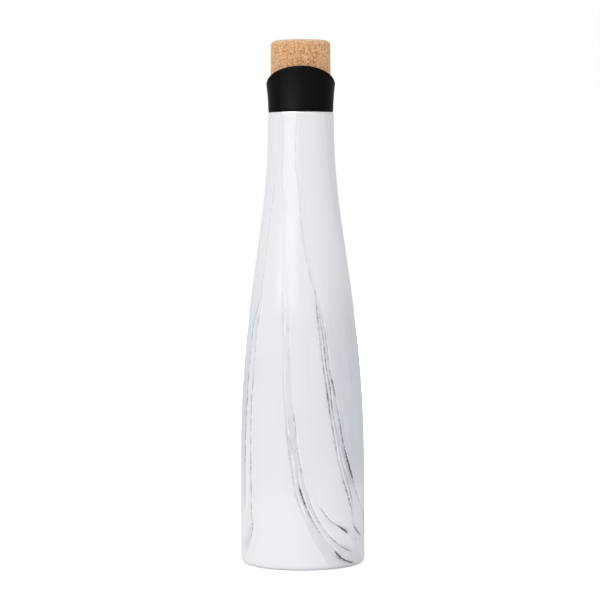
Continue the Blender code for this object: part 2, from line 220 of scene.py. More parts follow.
@dataclass(frozen=True)
class Turned:
    """A grid of points round the axis: one outline at each angle.

    Attributes:
        radius: distances from the axis, (angles, places along the outline).
        height: heights, of the same shape.
        closed: whether the outline is a loop. If not, it runs from pole to pole.
    """

    radius: Array
    height: Array
    closed: bool

    @staticmethod
    def of(corners: Sequence[Corner], angles: int, spacing: float, steps: int = 4) -> "Turned":
        """Turn a rounded outline, run so that its material is on the left.

        The outline's area is half the sum of r(i) z(i+1) - r(i+1) z(i), and its sign says which way
        the outline runs.

        Args:
            corners: the outline's corners in order.
            angles: number of angles.
            spacing: the longest run that isn't divided.
            steps: runs on each round.

        Returns:
            The grid.
        """
        outline = rounded(corners, spacing, steps)
        following = np.roll(outline, -1, axis=0)
        area = np.sum(outline[:, 0] * following[:, 1] - following[:, 0] * outline[:, 1])
        way = outline if area > 0 else outline[::-1]
        radius, height = (np.tile(way[:, axis], (angles, 1)) for axis in (0, 1))
        return Turned(radius, height, bool(outline[0, 0] > 0.0))

    @property
    def angle(self) -> Array:
        """The angles, as a column."""
        return angles_round(len(self.radius))

    def points(self) -> Array:
        """Every point of the grid."""
        return polar(self.radius, self.angle, self.height)

    def normals(self) -> Array:
        """Find which way is outwards: the outline's direction (dr, dz) turned to (dz, -dr).

        Returns:
            A direction of length 1 for every point, (angles, places along, 3).
        """
        outline = (self.radius, self.height)
        way_r, way_z = (np.roll(of, -1, axis=1) - np.roll(of, 1, axis=1) for of in outline)
        if not self.closed:
            for way, of in zip((way_r, way_z), outline):
                way[:, 0], way[:, -1] = of[:, 1] - of[:, 0], of[:, -1] - of[:, -2]
        length = np.hypot(way_r, way_z) + TINY
        return polar(way_z / length, self.angle, -way_r / length)


def skin(name: str, grid: Turned, points: Array | None = None, grain: Array | None = None,
         marks: dict[str, Array] | None = None) -> Piece:
    """Make a closed mesh from a grid.

    Each cell of the grid is a face, and a face beside a pole is a triangle. The last angle meets the
    first. The bake's map holds (share of the turn, share of the way along the outline).

    Args:
        name: name of the piece.
        grid: the piece's grid.
        points: the points to use instead of the grid's own.
        grain: map places for a pattern, (angles + 1, places along + 1, 2).
        marks: values for each point, named, (angles, places along, 3).

    Returns:
        The piece, smooth except at its sharp edges.
    """
    places = grid.points() if points is None else points
    angles, along = grid.radius.shape
    cells = along if grid.closed else along - 1
    row, column = np.meshgrid(np.arange(angles), np.arange(cells), indexing="ij")
    rows = np.stack((row, row + 1, row + 1, row), axis=-1).reshape(-1, 4)
    columns = np.stack((column, column, column + 1, column + 1), axis=-1).reshape(-1, 4)
    index = (rows % angles) * along + columns % along
    keep = np.ones(index.shape, bool)
    if not grid.closed:
        index[columns == 0] = 0
        index[columns == along - 1] = along - 1
        keep[columns[:, 0] == 0, 0] = False
        keep[columns[:, 2] == along - 1, 3] = False
    used, corners = np.unique(index[keep], return_inverse=True)
    sizes = keep.sum(axis=1)
    mesh = bpy.data.meshes.new(name)
    mesh.vertices.add(len(used))
    mesh.vertices.foreach_set("co", places.reshape(-1, 3)[used].astype(np.float32).ravel())
    mesh.loops.add(len(corners))
    mesh.loops.foreach_set("vertex_index", corners.astype(np.int32).ravel())
    mesh.polygons.add(len(sizes))
    mesh.polygons.foreach_set("loop_start", (np.cumsum(sizes) - sizes).astype(np.int32))
    mesh.update(calc_edges=True)
    step = np.hypot(np.diff(grid.radius[0], append=grid.radius[0, :1]),
                    np.diff(grid.height[0], append=grid.height[0, :1]))
    travelled = np.concatenate(([0.0], np.cumsum(step)))
    share = travelled / travelled[cells]
    turn = np.arange(angles + 1) / angles
    maps = {"OFBake": np.stack(np.broadcast_arrays(turn[:, None], share[None]), axis=-1)}
    if grain is not None:
        maps["grain"] = grain
    for title, chart in maps.items():
        layer = mesh.uv_layers.new(name=title)
        layer.data.foreach_set("uv", chart[rows, columns][keep].astype(np.float32).ravel())
    for title, values in (marks or {}).items():
        layer = mesh.attributes.new(title, "FLOAT_VECTOR", "POINT")
        layer.data.foreach_set("vector", values.reshape(-1, 3)[used].astype(np.float32).ravel())
    mesh.shade_smooth()
    mesh.set_sharp_from_angle(angle=SHARP_EDGE)
    piece = bpy.data.objects.new(name, mesh)
    bpy.context.scene.collection.objects.link(piece)
    return piece


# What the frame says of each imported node

BODY_OF = {node: body for body, nodes in frame["record"]["behaviour"]["bodies"].items() for node in nodes}


def settle(piece: Piece, node: str, finish: Material) -> None:
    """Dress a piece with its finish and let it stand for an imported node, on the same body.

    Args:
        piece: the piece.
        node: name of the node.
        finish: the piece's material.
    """
    piece.data.materials.append(finish)
    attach(piece, BODY_OF[node])
    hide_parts(node)
    LOG.info("%s: %d faces for %s", piece.name, len(piece.data.polygons), node)


@dataclass(frozen=True)
class Reach:
    """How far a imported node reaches.

    Attributes:
        low, high: its lowest and its highest height.
        radius: half its width.
        aside: how far its middle is to the right of the carafe's axis.
    """

    low: float
    high: float
    radius: float
    aside: float

    @staticmethod
    def of(node: str) -> "Reach":
        """Read a round node's reach from the frame."""
        low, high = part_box(node)
        return Reach(low.z, high.z, 0.5 * (high.x - low.x), 0.5 * (low.x + high.x))


def reach_of(node: str) -> Reach:
    """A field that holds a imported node's reach."""
    return field(default_factory=lambda: Reach.of(node))


# Granules

# Large primes and the largest 32-bit number, for random numbers of cells
CELL_PRIMES = (73856093, 19349663, 83492791)
SEED_PRIME = 2654435761
FOLD_PRIME = 2246822519
WORD = 0xFFFFFFFF


def hashed(cell: Array, seed: int) -> Array:
    """Give each whole-number cell its own even random number from 0 to 1.

    The cell's three numbers are multiplied by primes and mixed with exclusive or. Then the result is
    twice mixed with its own higher bits and multiplied again.

    Args:
        cell: whole numbers, (..., 3).
        seed: which set of random numbers.

    Returns:
        Numbers, (...).
    """
    mixed = (cell.astype(np.int64) * np.array(CELL_PRIMES)) & WORD
    value = mixed[..., 0] ^ mixed[..., 1] ^ mixed[..., 2] ^ (seed * SEED_PRIME & WORD)
    for _ in range(2):
        value = ((value ^ (value >> 15)) * FOLD_PRIME) & WORD
    return (value ^ (value >> 13)).astype(float) / WORD


def granules(points: Array, size: float, seed: int) -> tuple[Array, Array]:
    """Divide space into granules and say where points lie in them.

    Space is a lattice of cubes with one random site in each. A point belongs to its nearest site,
    and its margin is the second nearest distance less the nearest.

    Args:
        points: places, (..., 3).
        size: side of the lattice's cubes.
        seed: which set of random sites.

    Returns:
        The margin in units of size, and a random number of the point's granule.
    """
    scaled = points / size
    base = np.floor(scaled)
    nearest = np.full(points.shape[:-1], np.inf)
    second = nearest.copy()
    tone = np.zeros_like(nearest)
    for shift in np.ndindex(3, 3, 3):
        cell = base + np.array(shift) - 1
        site = cell + np.stack([hashed(cell, seed + axis) for axis in range(3)], axis=-1)
        distance = np.linalg.norm(scaled - site, axis=-1)
        closer = distance < nearest
        second = np.where(closer, nearest, np.minimum(second, distance))
        tone = np.where(closer, hashed(cell, seed + 3), tone)
        nearest = np.minimum(nearest, distance)
    return second - nearest, tone


# Finishes


@dataclass(frozen=True)
class Ramp:
    """An easing from start, where a value is low, to end, where it is high."""

    low: float
    high: float
    start: float = 0.0
    end: float = 1.0


class Graph:
    """The nodes of a material or a world, with a short call for each kind that is used.

    A finish keeps its relief as (depth in metres, strength), and its patterns as changes a metre.
    """

    def __init__(self, owner: Material | bpy.types.World, finish: dict[str, Feed]) -> None:
        """Start from the owner's first shader.

        Args:
            owner: the material or world.
            finish: plain values for the shader's own sockets.
        """
        owner.use_nodes = True
        self.owner = owner
        self.tree = owner.node_tree
        self.end, self.shader = (
            next(node for node in self.tree.nodes if node.bl_idname in kinds)
            for kinds in (("ShaderNodeOutputMaterial", "ShaderNodeOutputWorld"),
                          ("ShaderNodeBsdfPrincipled", "ShaderNodeBackground")))
        for socket, value in finish.items():
            self.feed(self.shader.inputs[socket], value)

    @staticmethod
    def material(name: str, finish: dict[str, Feed]) -> "Graph":
        """Start a new material."""
        return Graph(bpy.data.materials.new(name), finish)

    def feed(self, socket: Socket, value: Feed) -> None:
        """Link a socket to another, or set its plain value.

        Args:
            socket: the socket to feed.
            value: another node's output, a number, a vector or a colour.
        """
        if isinstance(value, Socket):
            self.tree.links.new(value, socket)
        elif socket.type == "RGBA":
            socket.default_value = (*value, 1.0)
        else:
            socket.default_value = value

    def add(self, kind: str, inputs: dict[str | int, Feed], **settings: object) -> bpy.types.Node:
        """Add a node.

        Args:
            kind: the node's type.
            inputs: what its sockets take.
            settings: its properties.

        Returns:
            The node.
        """
        node = self.tree.nodes.new(kind)
        for title, value in settings.items():
            setattr(node, title, value)
        for title, value in inputs.items():
            self.feed(node.inputs[title], value)
        return node

    def maths(self, operation: str, *values: Feed) -> Socket:
        """The result of one sum, comparison or other function."""
        return self.add("ShaderNodeMath", dict(enumerate(values)), operation=operation).outputs[0]

    def times(self, first: Feed, second: Feed) -> Socket:
        """The product of two values."""
        return self.maths("MULTIPLY", first, second)

    def eased(self, value: Feed, ramp: Ramp) -> Socket:
        """Ease a value along a ramp."""
        return self.between(value, ramp.low, ramp.high, ramp.start, ramp.end)

    def between(self, value: Feed, low: Feed, high: Feed, start: Feed, end: Feed) -> Socket:
        """Ease from start, where value is low, to end, where value is high."""
        inputs = {"Value": value, "From Min": low, "From Max": high, "To Min": start, "To Max": end}
        return self.add("ShaderNodeMapRange", inputs, interpolation_type="SMOOTHSTEP").outputs[0]

    def mixed(self, share: Feed, first: Feed, second: Feed) -> Socket:
        """A colour that is first where share is 0, and second where it is 1."""
        node = self.add("ShaderNodeMix", {0: share, 6: first, 7: second}, data_type="RGBA")
        return node.outputs[2]

    def place(self, x: Feed, y: Feed, z: Feed) -> Socket:
        """A vector from three numbers."""
        return self.add("ShaderNodeCombineXYZ", {0: x, 1: y, 2: z}).outputs[0]

    def parts(self, vector: Feed) -> list[Socket]:
        """The three numbers of a vector."""
        return list(self.add("ShaderNodeSeparateXYZ", {0: vector}).outputs)

    def local(self) -> Socket:
        """The place on the piece, in metres."""
        return self.add("ShaderNodeTexCoord", {}).outputs["Object"]

    def bent(self, scale: float, reach: float) -> Socket:
        """Find the place on the piece, bent by noise.

        Args:
            scale: changes of the noise in a metre.
            reach: the most that it shifts a place by, in metres.

        Returns:
            The place.
        """
        bend = self.add("ShaderNodeTexNoise", {"Vector": self.local(), "Scale": scale, "Detail": 2.0})
        shift = self.add("ShaderNodeVectorMath", {0: bend.outputs[1], 1: (reach, reach, reach)},
                         operation="MULTIPLY")
        place = self.add("ShaderNodeVectorMath", {0: self.local(), 1: shift.outputs[0]}, operation="ADD")
        return place.outputs[0]

    def from_axis(self, x: Feed, y: Feed) -> Socket:
        """Distance from the axis."""
        return self.maths("SQRT", self.maths("ADD", self.times(x, x), self.times(y, y)))

    def attribute(self, title: str) -> Socket:
        """A vector that the mesh holds at its points."""
        return self.add("ShaderNodeAttribute", {}, attribute_name=title).outputs["Vector"]

    def noise(self, vector: Feed, scale: float, detail: float = 2.0, roughness: float = 0.5) -> Socket:
        """Soft noise from 0 to 1."""
        inputs = {"Vector": vector, "Scale": scale, "Detail": detail, "Roughness": roughness}
        return self.add("ShaderNodeTexNoise", inputs).outputs[0]

    def cells(self, vector: Feed, scale: float, feature: str = "F1") -> bpy.types.Node:
        """Cells round random sites."""
        return self.add("ShaderNodeTexVoronoi", {"Vector": vector, "Scale": scale}, feature=feature)

    def cell_number(self, vector: Feed, scale: float) -> Socket:
        """A random number from 0 to 1 for each cell."""
        return self.parts(self.cells(vector, scale).outputs["Color"])[0]

    def relief(self, height: Feed, depth: float, strength: float) -> None:
        """Give the shader a bump of height 0 to 1 times depth, in metres."""
        inputs = {"Height": height, "Distance": depth, "Strength": strength}
        self.feed(self.shader.inputs["Normal"], self.add("ShaderNodeBump", inputs).outputs[0])

    def colour(self, value: Feed) -> None:
        """Give the shader its colour."""
        self.feed(self.shader.inputs["Base Color"], value)

    def roughness(self, value: Feed) -> None:
        """Give the shader its roughness."""
        self.feed(self.shader.inputs["Roughness"], value)

    def seen_plainly(self, mirrored: float = 1.0) -> Socket:
        """Tell what is looked at from what only lights a surface.

        Args:
            mirrored: the value for what a reflection shows.

        Returns:
            1 for what the camera sees, straight or through something clear, mirrored for what a
            reflection shows, and 0 for light on surfaces.
        """
        path = self.add("ShaderNodeLightPath", {}).outputs
        camera, glossy, clear = (path[f"Is {kind} Ray"] for kind in ("Camera", "Glossy", "Transmission"))
        return self.maths("MAXIMUM", self.maths("MAXIMUM", camera, clear), self.times(glossy, mirrored))


@dataclass(frozen=True)
class Streaks:
    """Noise drawn out along the veins.

    Attributes:
        across: its changes from one vein number to the next.
        along: its changes in a metre of height.
        layer: the depth at which it is read, so that two kinds differ.
        detail: how many finer and finer noises are added.
        roughness: how strong the finer ones are.
        scale: a factor on across, along and layer.
    """

    across: float
    along: float
    layer: float
    detail: float = 2.0
    roughness: float = 0.5
    scale: float = 1.0

    def read(self, paint: Graph, number: Feed, height: Feed) -> Socket:
        """The noise at a vein number and a height."""
        place = paint.place(paint.times(number, self.across), paint.times(height, self.along), self.layer)
        return paint.noise(place, self.scale, self.detail, self.roughness)


@dataclass(frozen=True)
class SideLine:
    """A line a millimetre or two beside a vein.

    Attributes:
        wander: noise that moves it, from nearest_mm by up to wander_mm.
        strength: its strength, over millimetres from its middle.
        gaps, whole: noise that interrupts it, and the noise at which it is whole.
    """

    wander: Streaks
    nearest_mm: float
    wander_mm: float
    strength: Ramp
    gaps: Streaks
    whole: Ramp

    def draw(self, paint: Graph, number: Feed, height: Feed, distance: Feed) -> Socket:
        """Draw the line.

        Args:
            paint: the material's nodes.
            number: a number of its own for each such line.
            height: the height.
            distance: millimetres to the vein.

        Returns:
            The line's strength, from 0.
        """
        wander = self.wander.read(paint, number, height)
        middle = paint.maths("MULTIPLY_ADD", wander, self.wander_mm, self.nearest_mm)
        apart = paint.maths("ABSOLUTE", paint.maths("SUBTRACT", distance, middle))
        whole = paint.eased(self.gaps.read(paint, number, height), self.whole)
        return paint.times(paint.eased(apart, self.strength), whole)


@dataclass(frozen=True)
class MarblePaint:
    """Glossy white paint with marble veins, which follow the shell's grain.

    The map "grain" holds (vein number, height). A vein runs where the number is whole. The mark
    "tone" holds the grey just left of the nearest veins and just right of them, and the mark "stroke"
    holds the line's darkness and how many millimetres there are to one vein number. The millimetres
    are square to the vein, so a line keeps its width where the vein slants.

    Attributes:
        white, wash, ink, bright: the paint, the grey between veins, the lines, and the painted highlight
            lines beside them.
        waver: noise that bends a vein by up to waver_mm.
        clouds, streaks: broad and fine change of the grey.
        chalk_per_m: speckle that varies a line's width, by chalk_width.
        breaks: noise that presses a line harder and softer.
        faintest: what a break leaves of a line: the first times its darkness, plus the second.
        thin_mm, thick_mm: half the width of the faintest line, and what full darkness adds.
        halo: grey round a line, over millimetres.
        track_step: what a vein's number counts for the companions on its two sides.
        companion, pale: a fainter dark line on either side of a vein, and a painted highlight line on its
            right.
        highlight_ink: how dark a line needs to be to have a painted highlight beside it.
    """

    white: Colour = (0.850, 0.863, 0.876)
    wash: Colour = (0.440, 0.464, 0.540)
    ink: Colour = (0.105, 0.108, 0.118)
    # The colour of the painted highlight lines, paler than the white paint
    bright: Colour = (0.975, 0.980, 0.985)
    waver: Streaks = Streaks(1.7, 1.0, 0.0, 4.0, 0.62, 130.0)
    waver_mm: float = 0.5
    clouds: Streaks = Streaks(4.0, 14.0, 0.0, 4.0, 0.6)
    clouds_grey: Ramp = Ramp(0.28, 0.72, 0.75, 1.20)
    streaks: Streaks = Streaks(19.0, 30.0, 4.0, 3.0, 0.6)
    streaks_grey: Ramp = Ramp(0.35, 0.65, -0.11, 0.15)
    chalk_per_m: float = 1150.0
    chalk_width: Ramp = Ramp(0.30, 0.70, 0.45, 1.35)
    breaks: Streaks = Streaks(3.7, 190.0, 0.0, 4.0, 0.7)
    breaks_span: tuple[float, float] = (0.36, 0.60)
    faintest: tuple[float, float] = (0.45, 0.15)
    hardest: float = 1.3
    thin_mm: float = 0.30
    thick_mm: float = 0.75
    core_share: float = 0.3
    halo: Ramp = Ramp(0.0, 1.6, 0.18, 0.0)
    track_step: float = 2.3
    companion: SideLine = SideLine(Streaks(1.0, 45.0, 8.0), 0.55, 1.8, Ramp(0.08, 0.42, 0.6, 0.0),
                                   Streaks(1.0, 120.0, 5.0, 3.0), Ramp(0.44, 0.60))
    chalk_companion: Ramp = Ramp(0.3, 0.6, 0.5, 1.0)
    # A painted highlight: a line on the right of each vein, paler than the white paint
    pale: SideLine = SideLine(Streaks(5.1, 30.0, 2.0), 0.2, 1.8, Ramp(0.10, 0.40, 0.9, 0.0),
                              Streaks(4.3, 60.0, 6.0, 3.0), Ramp(0.34, 0.48))
    highlight_ink: Ramp = Ramp(0.03, 0.15)
    most_ink: float = 0.95
    ripple_per_m: float = 1100.0
    relief: tuple[float, float] = (0.00001, 0.25)

    def make(self) -> Material:
        """Make the material.

        The distance to the vein is (number - nearest whole number) * millimetres per number, after
        the waver. The colour is the white paint under its grey, the painted highlight lines, and the
        dark lines with their companions, in that order.

        Returns:
            The material.
        """
        paint = Graph.material("marble_paint", {
            "Roughness": 0.5, "Specular IOR Level": 0.0, "Coat Weight": 0.06, "Coat Roughness": 0.05,
            "Coat IOR": 1.45})
        maths, times = paint.maths, paint.times
        number, height, _ = paint.parts(paint.add("ShaderNodeUVMap", {}, uv_map="grain").outputs[0])
        ink, spread, _ = paint.parts(paint.attribute("stroke"))
        sway = times(maths("SUBTRACT", self.waver.read(paint, number, height), 0.5), self.waver_mm * 2)
        number = maths("ADD", number, maths("DIVIDE", sway, spread))
        whole = maths("ROUND", number)
        offset = maths("SUBTRACT", number, whole)
        distance = times(maths("ABSOLUTE", offset), spread)
        chalk = paint.noise(paint.local(), self.chalk_per_m, 2.0, 0.6)

        grey = maths("MINIMUM", self.grey(paint, number, height), 1.0)
        # Painted highlight: a pale line on each vein's right, where the paint is made paler than its white
        painted_highlight = self.pale.draw(paint, whole, height, times(offset, spread))
        painted_highlight = times(painted_highlight, paint.eased(ink, self.highlight_ink))
        line = self.line(paint, whole, height, distance, ink, chalk)
        track = maths("MULTIPLY_ADD", whole, self.track_step, maths("SIGN", offset))
        thread = times(ink, self.companion.draw(paint, track, height, distance))
        line = maths("MAXIMUM", line, times(thread, paint.eased(chalk, self.chalk_companion)))

        tinted = paint.mixed(painted_highlight, paint.mixed(grey, self.white, self.wash), self.bright)
        paint.colour(paint.mixed(maths("MINIMUM", line, self.most_ink), tinted, self.ink))
        ripple = paint.noise(paint.local(), self.ripple_per_m, 1.0)
        paint.relief(ripple, *self.relief)
        return paint.owner

    def grey(self, paint: Graph, number: Feed, height: Feed) -> Socket:
        """Work out the grey between veins.

        It goes from one vein's right tone to the next one's left tone, and jumps at a vein.

        Args:
            paint: the material's nodes.
            number: the vein number.
            height: the height.

        Returns:
            The grey, from 0.
        """
        left, right, _ = paint.parts(paint.attribute("tone"))
        share = paint.maths("FRACT", number)
        grey = paint.add("ShaderNodeMix", {0: share, 2: right, 3: left}, data_type="FLOAT").outputs[0]
        broad = paint.eased(self.clouds.read(paint, number, height), self.clouds_grey)
        fine = paint.eased(self.streaks.read(paint, number, height), self.streaks_grey)
        return paint.times(grey, paint.maths("ADD", broad, fine))

    def line(self, paint: Graph, whole: Feed, height: Feed, distance: Feed, ink: Feed,
             chalk: Feed) -> Socket:
        """Draw the dark line of a vein, which is thicker where it is pressed harder.

        Args:
            paint: the material's nodes.
            whole: the nearest vein's number.
            height: the height.
            distance: millimetres to the vein.
            ink: the line's darkness.
            chalk: the speckle.

        Returns:
            The line's strength, from 0.
        """
        breaks = self.breaks.read(paint, whole, height)
        faintest = paint.maths("MULTIPLY_ADD", ink, *self.faintest)
        pressed = paint.times(ink, paint.between(breaks, *self.breaks_span, faintest, self.hardest))
        width = paint.maths("MULTIPLY_ADD", pressed, self.thick_mm, self.thin_mm)
        width = paint.times(width, paint.eased(chalk, self.chalk_width))
        core = paint.between(distance, paint.times(width, self.core_share), width, 1.0, 0.0)
        return paint.times(pressed, paint.maths("ADD", core, paint.eased(distance, self.halo)))


@dataclass(frozen=True)
class SpunSteel:
    """Stainless steel with the fine rings that spinning and brushing leave round the axis."""

    bare: Colour = (0.84, 0.835, 0.825)
    shade: Colour = (0.64, 0.64, 0.64)
    rings_per_m: float = 2600.0
    arcs_per_m: float = 60.0
    clouds_per_m: float = 70.0
    polish: Ramp = Ramp(0.6, 1.4, 0.22, 0.40)
    relief: tuple[float, float] = (0.000012, 0.6)

    def make(self) -> Material:
        """Make the material. Rings are noise of radius + height, which barely changes round the axis.

        Returns:
            The material.
        """
        steel = Graph.material("spun_steel", {"Metallic": 1.0, "Roughness": 0.3})
        x, y, z = steel.parts(steel.local())
        outwards = steel.times(steel.maths("ADD", steel.from_axis(x, y), z), self.rings_per_m)
        place = steel.place(steel.times(x, self.arcs_per_m), steel.times(y, self.arcs_per_m), outwards)
        rings = steel.noise(place, 1.0, 4.0, 0.65)
        clouds = steel.noise(steel.local(), self.clouds_per_m, 3.0)
        steel.colour(steel.mixed(rings, self.shade, self.bare))
        steel.roughness(steel.eased(steel.maths("ADD", rings, clouds), self.polish))
        steel.relief(rings, *self.relief)
        return steel.owner


@dataclass(frozen=True)
class CopperFoil:
    """Thin copper foil with soft creases and a heat tint."""

    bare: Colour = (0.86, 0.47, 0.32)
    tinted: Colour = (0.66, 0.30, 0.20)
    tints_per_m: float = 45.0
    creases_per_m: float = 90.0
    bends_per_m: float = 60.0
    bend: float = 0.02
    dull: Ramp = Ramp(0.0, 0.2, 0.38, 0.20)
    crease: Ramp = Ramp(0.0, 0.25)
    relief: tuple[float, float] = (0.00012, 0.8)

    def make(self) -> Material:
        """Make the material. Creases are the edges of large cells, bent by noise.

        Returns:
            The material.
        """
        foil = Graph.material("copper_foil", {"Metallic": 1.0, "Roughness": 0.25})
        place = foil.bent(self.bends_per_m, self.bend)
        creases = foil.cells(place, self.creases_per_m, "DISTANCE_TO_EDGE").outputs["Distance"]
        foil.colour(foil.mixed(foil.noise(foil.local(), self.tints_per_m, 4.0), self.bare, self.tinted))
        foil.roughness(foil.eased(creases, self.dull))
        foil.relief(foil.eased(creases, self.crease), *self.relief)
        return foil.owner


@dataclass(frozen=True)
class SolderGlass:
    """A bead of dark solder glass, fused smooth, with faint flow marks."""

    dark: Colour = (0.050, 0.058, 0.052)
    pale: Colour = (0.14, 0.15, 0.13)
    flows_per_m: float = 700.0
    relief: tuple[float, float] = (0.00005, 0.4)

    def make(self) -> Material:
        """Make the material. Flow marks are noise of low contrast.

        Returns:
            The material.
        """
        glass = Graph.material("solder_glass", {
            "Roughness": 0.12, "Coat Weight": 0.5, "Coat Roughness": 0.05})
        flow = glass.noise(glass.local(), self.flows_per_m, 4.0, 0.6)
        glass.colour(glass.mixed(flow, self.dark, self.pale))
        glass.relief(flow, *self.relief)
        return glass.owner


@dataclass(frozen=True)
class PressedPowder:
    """Grey metal powder pressed into a tablet, with bright grains."""

    base: Colour = (0.20, 0.20, 0.21)
    grain: Colour = (0.42, 0.42, 0.43)
    grains_per_m: float = 5200.0
    relief: tuple[float, float] = (0.00008, 0.8)

    def make(self) -> Material:
        """Make the material. Each grain is a small cell with its own shade.

        Returns:
            The material.
        """
        powder = Graph.material("getter_powder", {"Metallic": 0.6, "Roughness": 0.65})
        grains = powder.cells(powder.local(), self.grains_per_m)
        shade, _, _ = powder.parts(grains.outputs["Color"])
        powder.colour(powder.mixed(shade, self.base, self.grain))
        powder.relief(grains.outputs["Distance"], *self.relief)
        return powder.owner


@dataclass(frozen=True)
class Silicone:
    """Clear silicone rubber: milky, soft to look at, with fine mould marks."""

    colour: Colour = (0.80, 0.80, 0.77)
    deep: Colour = (0.70, 0.70, 0.66)
    clouds_per_m: float = 260.0
    marks_per_m: float = 3800.0
    dull: Ramp = Ramp(0.3, 0.7, 0.36, 0.50)
    relief: tuple[float, float] = (0.00001, 0.5)

    def make(self) -> Material:
        """Make the material. Light sinks in about half a millimetre.

        Returns:
            The material.
        """
        rubber = Graph.material("silicone", {
            "Roughness": 0.42, "Subsurface Weight": 0.45, "Subsurface Scale": 0.0006,
            "Subsurface Radius": (1.0, 0.9, 0.8), "Specular IOR Level": 0.4})
        cloud = rubber.noise(rubber.local(), self.clouds_per_m, 3.0)
        marks = rubber.noise(rubber.local(), self.marks_per_m, 2.0)
        rubber.colour(rubber.mixed(cloud, self.colour, self.deep))
        rubber.roughness(rubber.eased(marks, self.dull))
        rubber.relief(marks, *self.relief)
        return rubber.owner


@dataclass(frozen=True)
class MouldedPlastic:
    """Black moulded plastic with the fine grain that a spark-eroded mould leaves.

    Attributes:
        dark, pale: the plastic, and where it is paler.
        dull, gloss: its highest and its lowest roughness.
        shine: how strongly it reflects.
    """

    name: str
    dark: Colour
    pale: Colour
    dull: float
    gloss: float
    shine: float
    grain_per_m: float = 5200.0
    clouds_per_m: float = 120.0
    clouds_share: float = 0.3
    worn: tuple[float, float] = (0.35, 0.95)
    relief: tuple[float, float] = (0.000012, 0.5)

    def make(self) -> Material:
        """Make the material. The grain is fine noise in roughness and relief, with faint clouds.

        Returns:
            The material.
        """
        plastic = Graph.material(self.name, {"Roughness": self.dull, "Specular IOR Level": self.shine})
        grain = plastic.noise(plastic.local(), self.grain_per_m, 3.0, 0.6)
        clouds = plastic.noise(plastic.local(), self.clouds_per_m, 3.0)
        plastic.colour(plastic.mixed(clouds, self.dark, self.pale))
        worn = plastic.maths("MULTIPLY_ADD", clouds, self.clouds_share, grain)
        plastic.roughness(plastic.between(worn, *self.worn, self.gloss, self.dull))
        plastic.relief(grain, *self.relief)
        return plastic.owner


@dataclass(frozen=True)
class PressedCork:
    """Agglomerated cork: light and dark granules glued together, ground smooth and slightly pitted.

    The shares say how much each size of granule, and the mottle inside them, counts in the tone.
    Ramps on the tone, on the distance from a joint and on the mottle turn it into colour and height.
    """

    pale: Colour = (0.98, 0.63, 0.345)
    middle: Colour = (0.86, 0.440, 0.17)
    dark: Colour = (0.50, 0.200, 0.070)
    fleck: Colour = (0.33, 0.135, 0.055)
    # The rounded top edge is painted paler in this colour: a painted highlight of light from above
    top_highlight: Colour = (0.99, 0.75, 0.50)
    fuzz: Colour = (1.0, 0.90, 0.76)
    bends_per_m: float = 700.0
    bend: float = 0.0010
    large_per_m: float = 480.0
    large_share: float = 0.20
    small_per_m: float = 1250.0
    small_share: float = 0.80
    pits_per_m: float = 1900.0
    mottle_per_m: float = 2100.0
    mottle_share: float = 1.0
    paler: Ramp = Ramp(0.38, 0.84)
    darker: Ramp = Ramp(0.06, 0.40, 1.0, 0.0)
    joint: Ramp = Ramp(0.0, 0.10, 0.45, 0.0)
    pitted: Ramp = Ramp(0.945, 0.955)
    ragged: Ramp = Ramp(0.42, 0.52)
    pit_share: float = 0.8
    highlight_mottle: Ramp = Ramp(0.35, 0.62, 0.05, 0.70)
    crown: Ramp = Ramp(0.0, 0.16)
    pit_fall: float = 1.5
    mottle_rise: float = 0.8
    relief: tuple[float, float] = (0.00014, 0.9)

    def make(self) -> Material:
        """Make the material.

        A granule's tone is its cell's own random number. Smaller cells and noise vary the tone
        inside it. The mark "rubbed" is 1 on the rounded top edge, where the cork is painted paler:
        a painted highlight of the light from above.

        Returns:
            The material.
        """
        cork = Graph.material("pressed_cork", {
            "Roughness": 0.82, "Specular IOR Level": 0.25, "Sheen Weight": 0.6, "Sheen Roughness": 0.4,
            "Sheen Tint": self.fuzz})
        place = cork.bent(self.bends_per_m, self.bend)
        large = cork.cell_number(place, self.large_per_m)
        small = cork.cell_number(place, self.small_per_m)
        pick = cork.cell_number(place, self.pits_per_m)
        edge = cork.cells(place, self.small_per_m, "DISTANCE_TO_EDGE").outputs["Distance"]
        mottle = cork.noise(cork.local(), self.mottle_per_m, 3.0, 0.65)
        tone = cork.maths("MULTIPLY_ADD", small, self.small_share, cork.times(large, self.large_share))
        tone = cork.maths("MULTIPLY_ADD", cork.maths("SUBTRACT", mottle, 0.5), self.mottle_share, tone)

        body = cork.mixed(cork.eased(tone, self.paler), self.middle, self.pale)
        body = cork.mixed(cork.eased(tone, self.darker), body, self.dark)
        body = cork.mixed(cork.eased(edge, self.joint), body, self.dark)
        pit = cork.times(cork.eased(pick, self.pitted), cork.eased(mottle, self.ragged))
        body = cork.mixed(cork.times(pit, self.pit_share), body, self.fleck)
        # Painted highlight: the rounded top edge is painted paler, broken by the mottle
        top_highlight, _, _ = cork.parts(cork.attribute("top_highlight"))
        cork.colour(cork.mixed(cork.times(top_highlight, cork.eased(mottle, self.highlight_mottle)), body, self.top_highlight))

        high = cork.maths("SUBTRACT", cork.eased(edge, self.crown), cork.times(pit, self.pit_fall))
        high = cork.maths("MULTIPLY_ADD", mottle, self.mottle_rise, high)
        cork.relief(high, *self.relief)
        return cork.owner


SATIN_BLACK = MouldedPlastic("satin_black", dark=(0.0030, 0.0030, 0.0032), pale=(0.0040, 0.0040, 0.0042),
                             dull=0.50, gloss=0.42, shine=0.022)
MOULDED_INSERT = MouldedPlastic("moulded_insert", dark=(0.011, 0.011, 0.012), pale=(0.018, 0.018, 0.019),
                                dull=0.50, gloss=0.38, shine=0.30)


